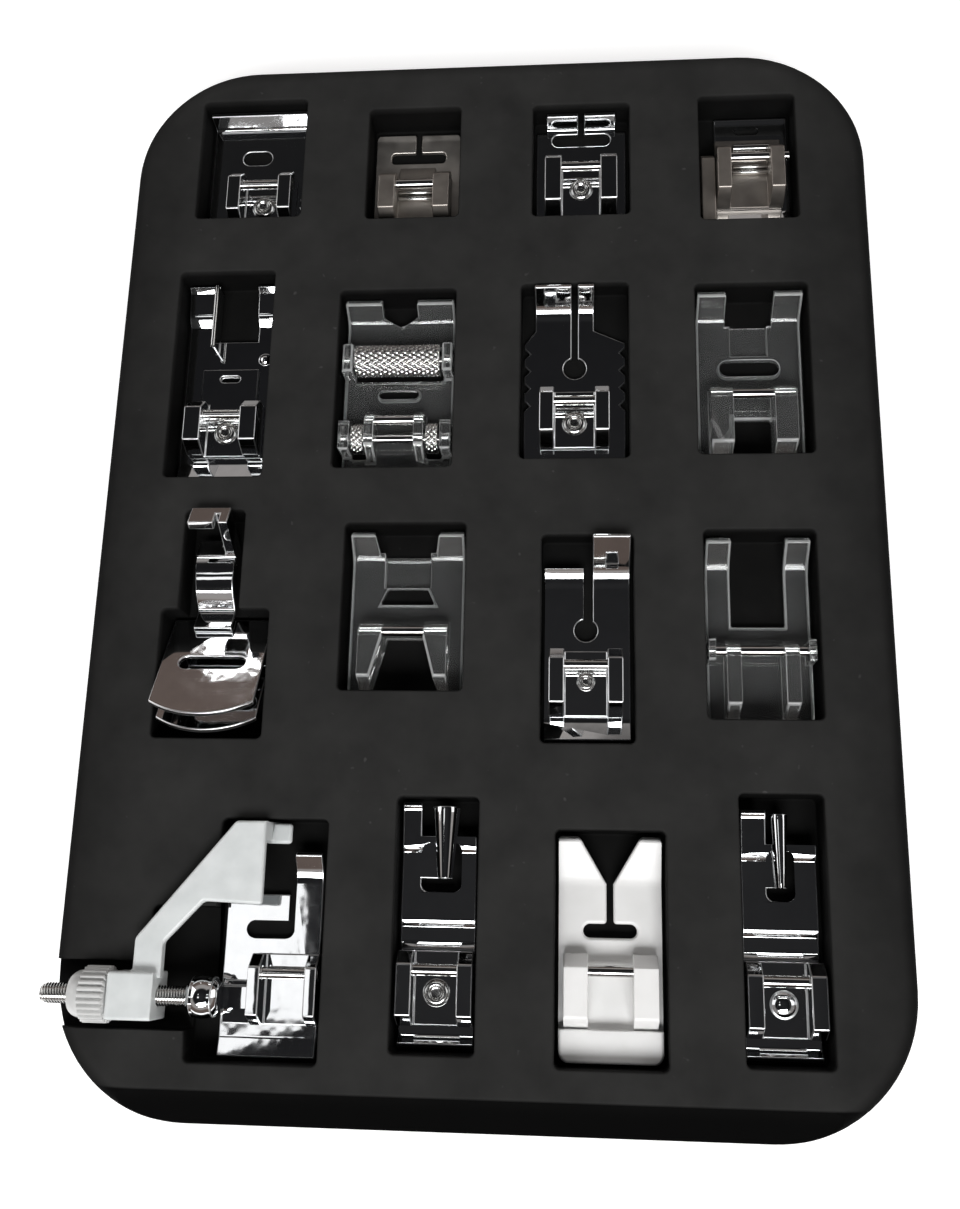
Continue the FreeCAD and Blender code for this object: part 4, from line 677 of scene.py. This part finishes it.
def rivet(node):
    low, high, centre = extent(node)
    head = (high.x - low.x) / 2
    stem = RIVET_STEM * MM
    base = high.z - RIVET_HEIGHT * MM
    rings = [(low.z, steady(RIVET_TIP * MM)), (low.z, steady(stem)), (base, steady(stem)),
             (base, steady(RIVET_UNDER * head))]
    for across, up in RIVET_HEAD:
        rings.append((base + up * (high.z - base), steady(across * head)))
    piece = turned(node + "_dished", "Z", centre, rings, ROUND)
    creased(piece.data, TURNED_ANGLE)
    show(piece, node, "rivet")


def bars(foot):
    """Rounded bars across the middle of a foot's bracket."""
    node = foot + "_bracket"
    pin = extent(foot + "_pin")[2]
    left = pin.x - BAR_HALF * MM
    right = pin.x + BAR_HALF * MM
    taper = BAR_TAPER * MM
    for number, (behind, above, thick) in enumerate(BARS[foot]):
        radius = steady(thick * MM)
        end = steady(BAR_END * thick * MM)
        rings = [(left, end), (left + taper, radius), (right - taper, radius), (right, end)]
        centre = (pin.x, pin.y - behind * MM, pin.z + above * MM)
        bar = turned("%s_bar_%d" % (node, number), "X", centre, rings, BAR_ROUND)
        creased(bar.data, TURNED_ANGLE)
        dress(bar, node, "rivet")


def lug_ball():
    """The rounded head of the lug that holds the adjusting screw."""
    _, high, centre = extent("blind_hem_screw")
    middle = high.x - LUG_LENGTH / 2 * MM
    radius = LUG_BALL_R * MM
    rings = []
    for step in range(LUG_STEPS + 1):
        angle = math.radians(LUG_OPEN * (2 * step / LUG_STEPS - 1))
        rings.append((middle + radius * math.sin(angle), steady(radius * math.cos(angle))))
    ball = turned("blind_hem_lug_ball", "X", centre, rings, ROUND)
    creased(ball.data, TURNED_ANGLE)
    dress(ball, "blind_hem_bracket", "chrome")


def blade_bead():
    """The polished bead along the top of the overcast foot's blade."""
    corners = [vertex.co for vertex in NODES["overcast_sole"].data.vertices]
    top = max(corner.z for corner in corners)
    ridge = [corner for corner in corners if corner.z > top - SAME_HEIGHT * MM]
    halfway = (min(corner.y for corner in ridge) + max(corner.y for corner in ridge)) / 2
    ends = []
    for pair in ([c for c in ridge if c.y < halfway], [c for c in ridge if c.y > halfway]):
        ends.append(sum(pair, Vector()) / len(pair))
    along = ends[1] - ends[0]
    radius = BEAD_R * MM
    centre = (ends[0] + ends[1]) / 2 - Vector((0, 0, radius))
    turn = along.to_track_quat("Z", "Y").to_matrix().to_4x4()
    shape = bmesh.new()
    bmesh.ops.create_cone(shape, cap_ends=True, segments=BEAD_ROUND, radius1=radius, radius2=radius,
                          depth=along.length, matrix=Matrix.Translation(centre) @ turn)
    mesh = mesh_from(shape, "overcast_blade_bead")
    mesh.shade_smooth()
    creased(mesh, TURNED_ANGLE)
    dress(new_piece("overcast_blade_bead", mesh), "overcast_sole", "rivet")


front_roller()
rear_rollers()
screw()
knob()
for name in sorted(NODES):
    if name.endswith("_rivet"):
        rivet(name)
for name in BARS:
    bars(name)
lug_ball()
blade_bead()
for name in sorted(NODES):
    if name not in TURNED and not name.endswith("_rivet"):
        edged(name)


# Camera, floor and light

def camera():
    data = bpy.data.cameras.new("camera")
    data.sensor_fit = "AUTO"
    data.sensor_width = SENSOR_MM
    data.lens = LENS_MM
    data.clip_start = NEAREST
    eye = bpy.data.objects.new("camera", data)
    right = Vector(CAMERA_RIGHT)
    up = Vector(CAMERA_UP)
    turn = Matrix((right, up, right.cross(up))).transposed()
    eye.matrix_world = Matrix.Translation(Vector(CAMERA_AT_MM) * MM) @ turn.to_4x4()
    bpy.context.scene.collection.objects.link(eye)
    bpy.context.scene.camera = eye


def floor():
    """A pale floor that glows a little where the camera, a mirror or clear plastic sees it."""
    mesh = bpy.data.meshes.new("floor")
    corners = [(-1, -1), (1, -1), (1, 1), (-1, 1)]
    mesh.from_pydata([(x * FLOOR_REACH, y * FLOOR_REACH, FLOOR_Z) for x, y in corners], [], [(0, 1, 2, 3)])
    piece = new_piece("floor", mesh)
    material, tree, shader = new_material("floor_look")
    seen = add_node(tree, "ShaderNodeLightPath").outputs
    mirrored = combined(tree, "MAXIMUM", seen["Is Camera Ray"], seen["Is Glossy Ray"])
    any_ray = combined(tree, "MAXIMUM", mirrored, seen["Is Transmission Ray"])
    fill(tree, shader, {"Base Color": (0.86, 0.86, 0.86, 1.0), "Roughness": 0.9,
                        "Emission Color": (1.0, 1.0, 1.0, 1.0),
                        "Emission Strength": combined(tree, "MULTIPLY", any_ray, FLOOR_GLOW)})
    mesh.materials.append(material)


def room():
    world = bpy.data.worlds.new("room")
    bpy.context.scene.world = world
    world.use_nodes = True
    tree = world.node_tree
    background = next(n for n in tree.nodes if n.type == "BACKGROUND")
    height = split(tree, add_node(tree, "ShaderNodeTexCoord").outputs["Generated"])["Z"]
    fill(tree, background, {"Color": ramp(tree, height, ROOM), "Strength": 1.0})


def softbox(name, at, aim, width, height, power):
    data = bpy.data.lights.new(name, "AREA")
    data.shape = "RECTANGLE"
    data.size = width
    data.size_y = height
    data.energy = power
    lamp = bpy.data.objects.new(name, data)
    lamp.location = at
    lamp.rotation_euler = (Vector(aim) - Vector(at)).to_track_quat("-Z", "Y").to_euler()
    bpy.context.scene.collection.objects.link(lamp)


camera()
floor()
room()
for lamp in LAMPS:
    softbox(*lamp)
bpy.context.scene.view_settings.view_transform = "Standard"
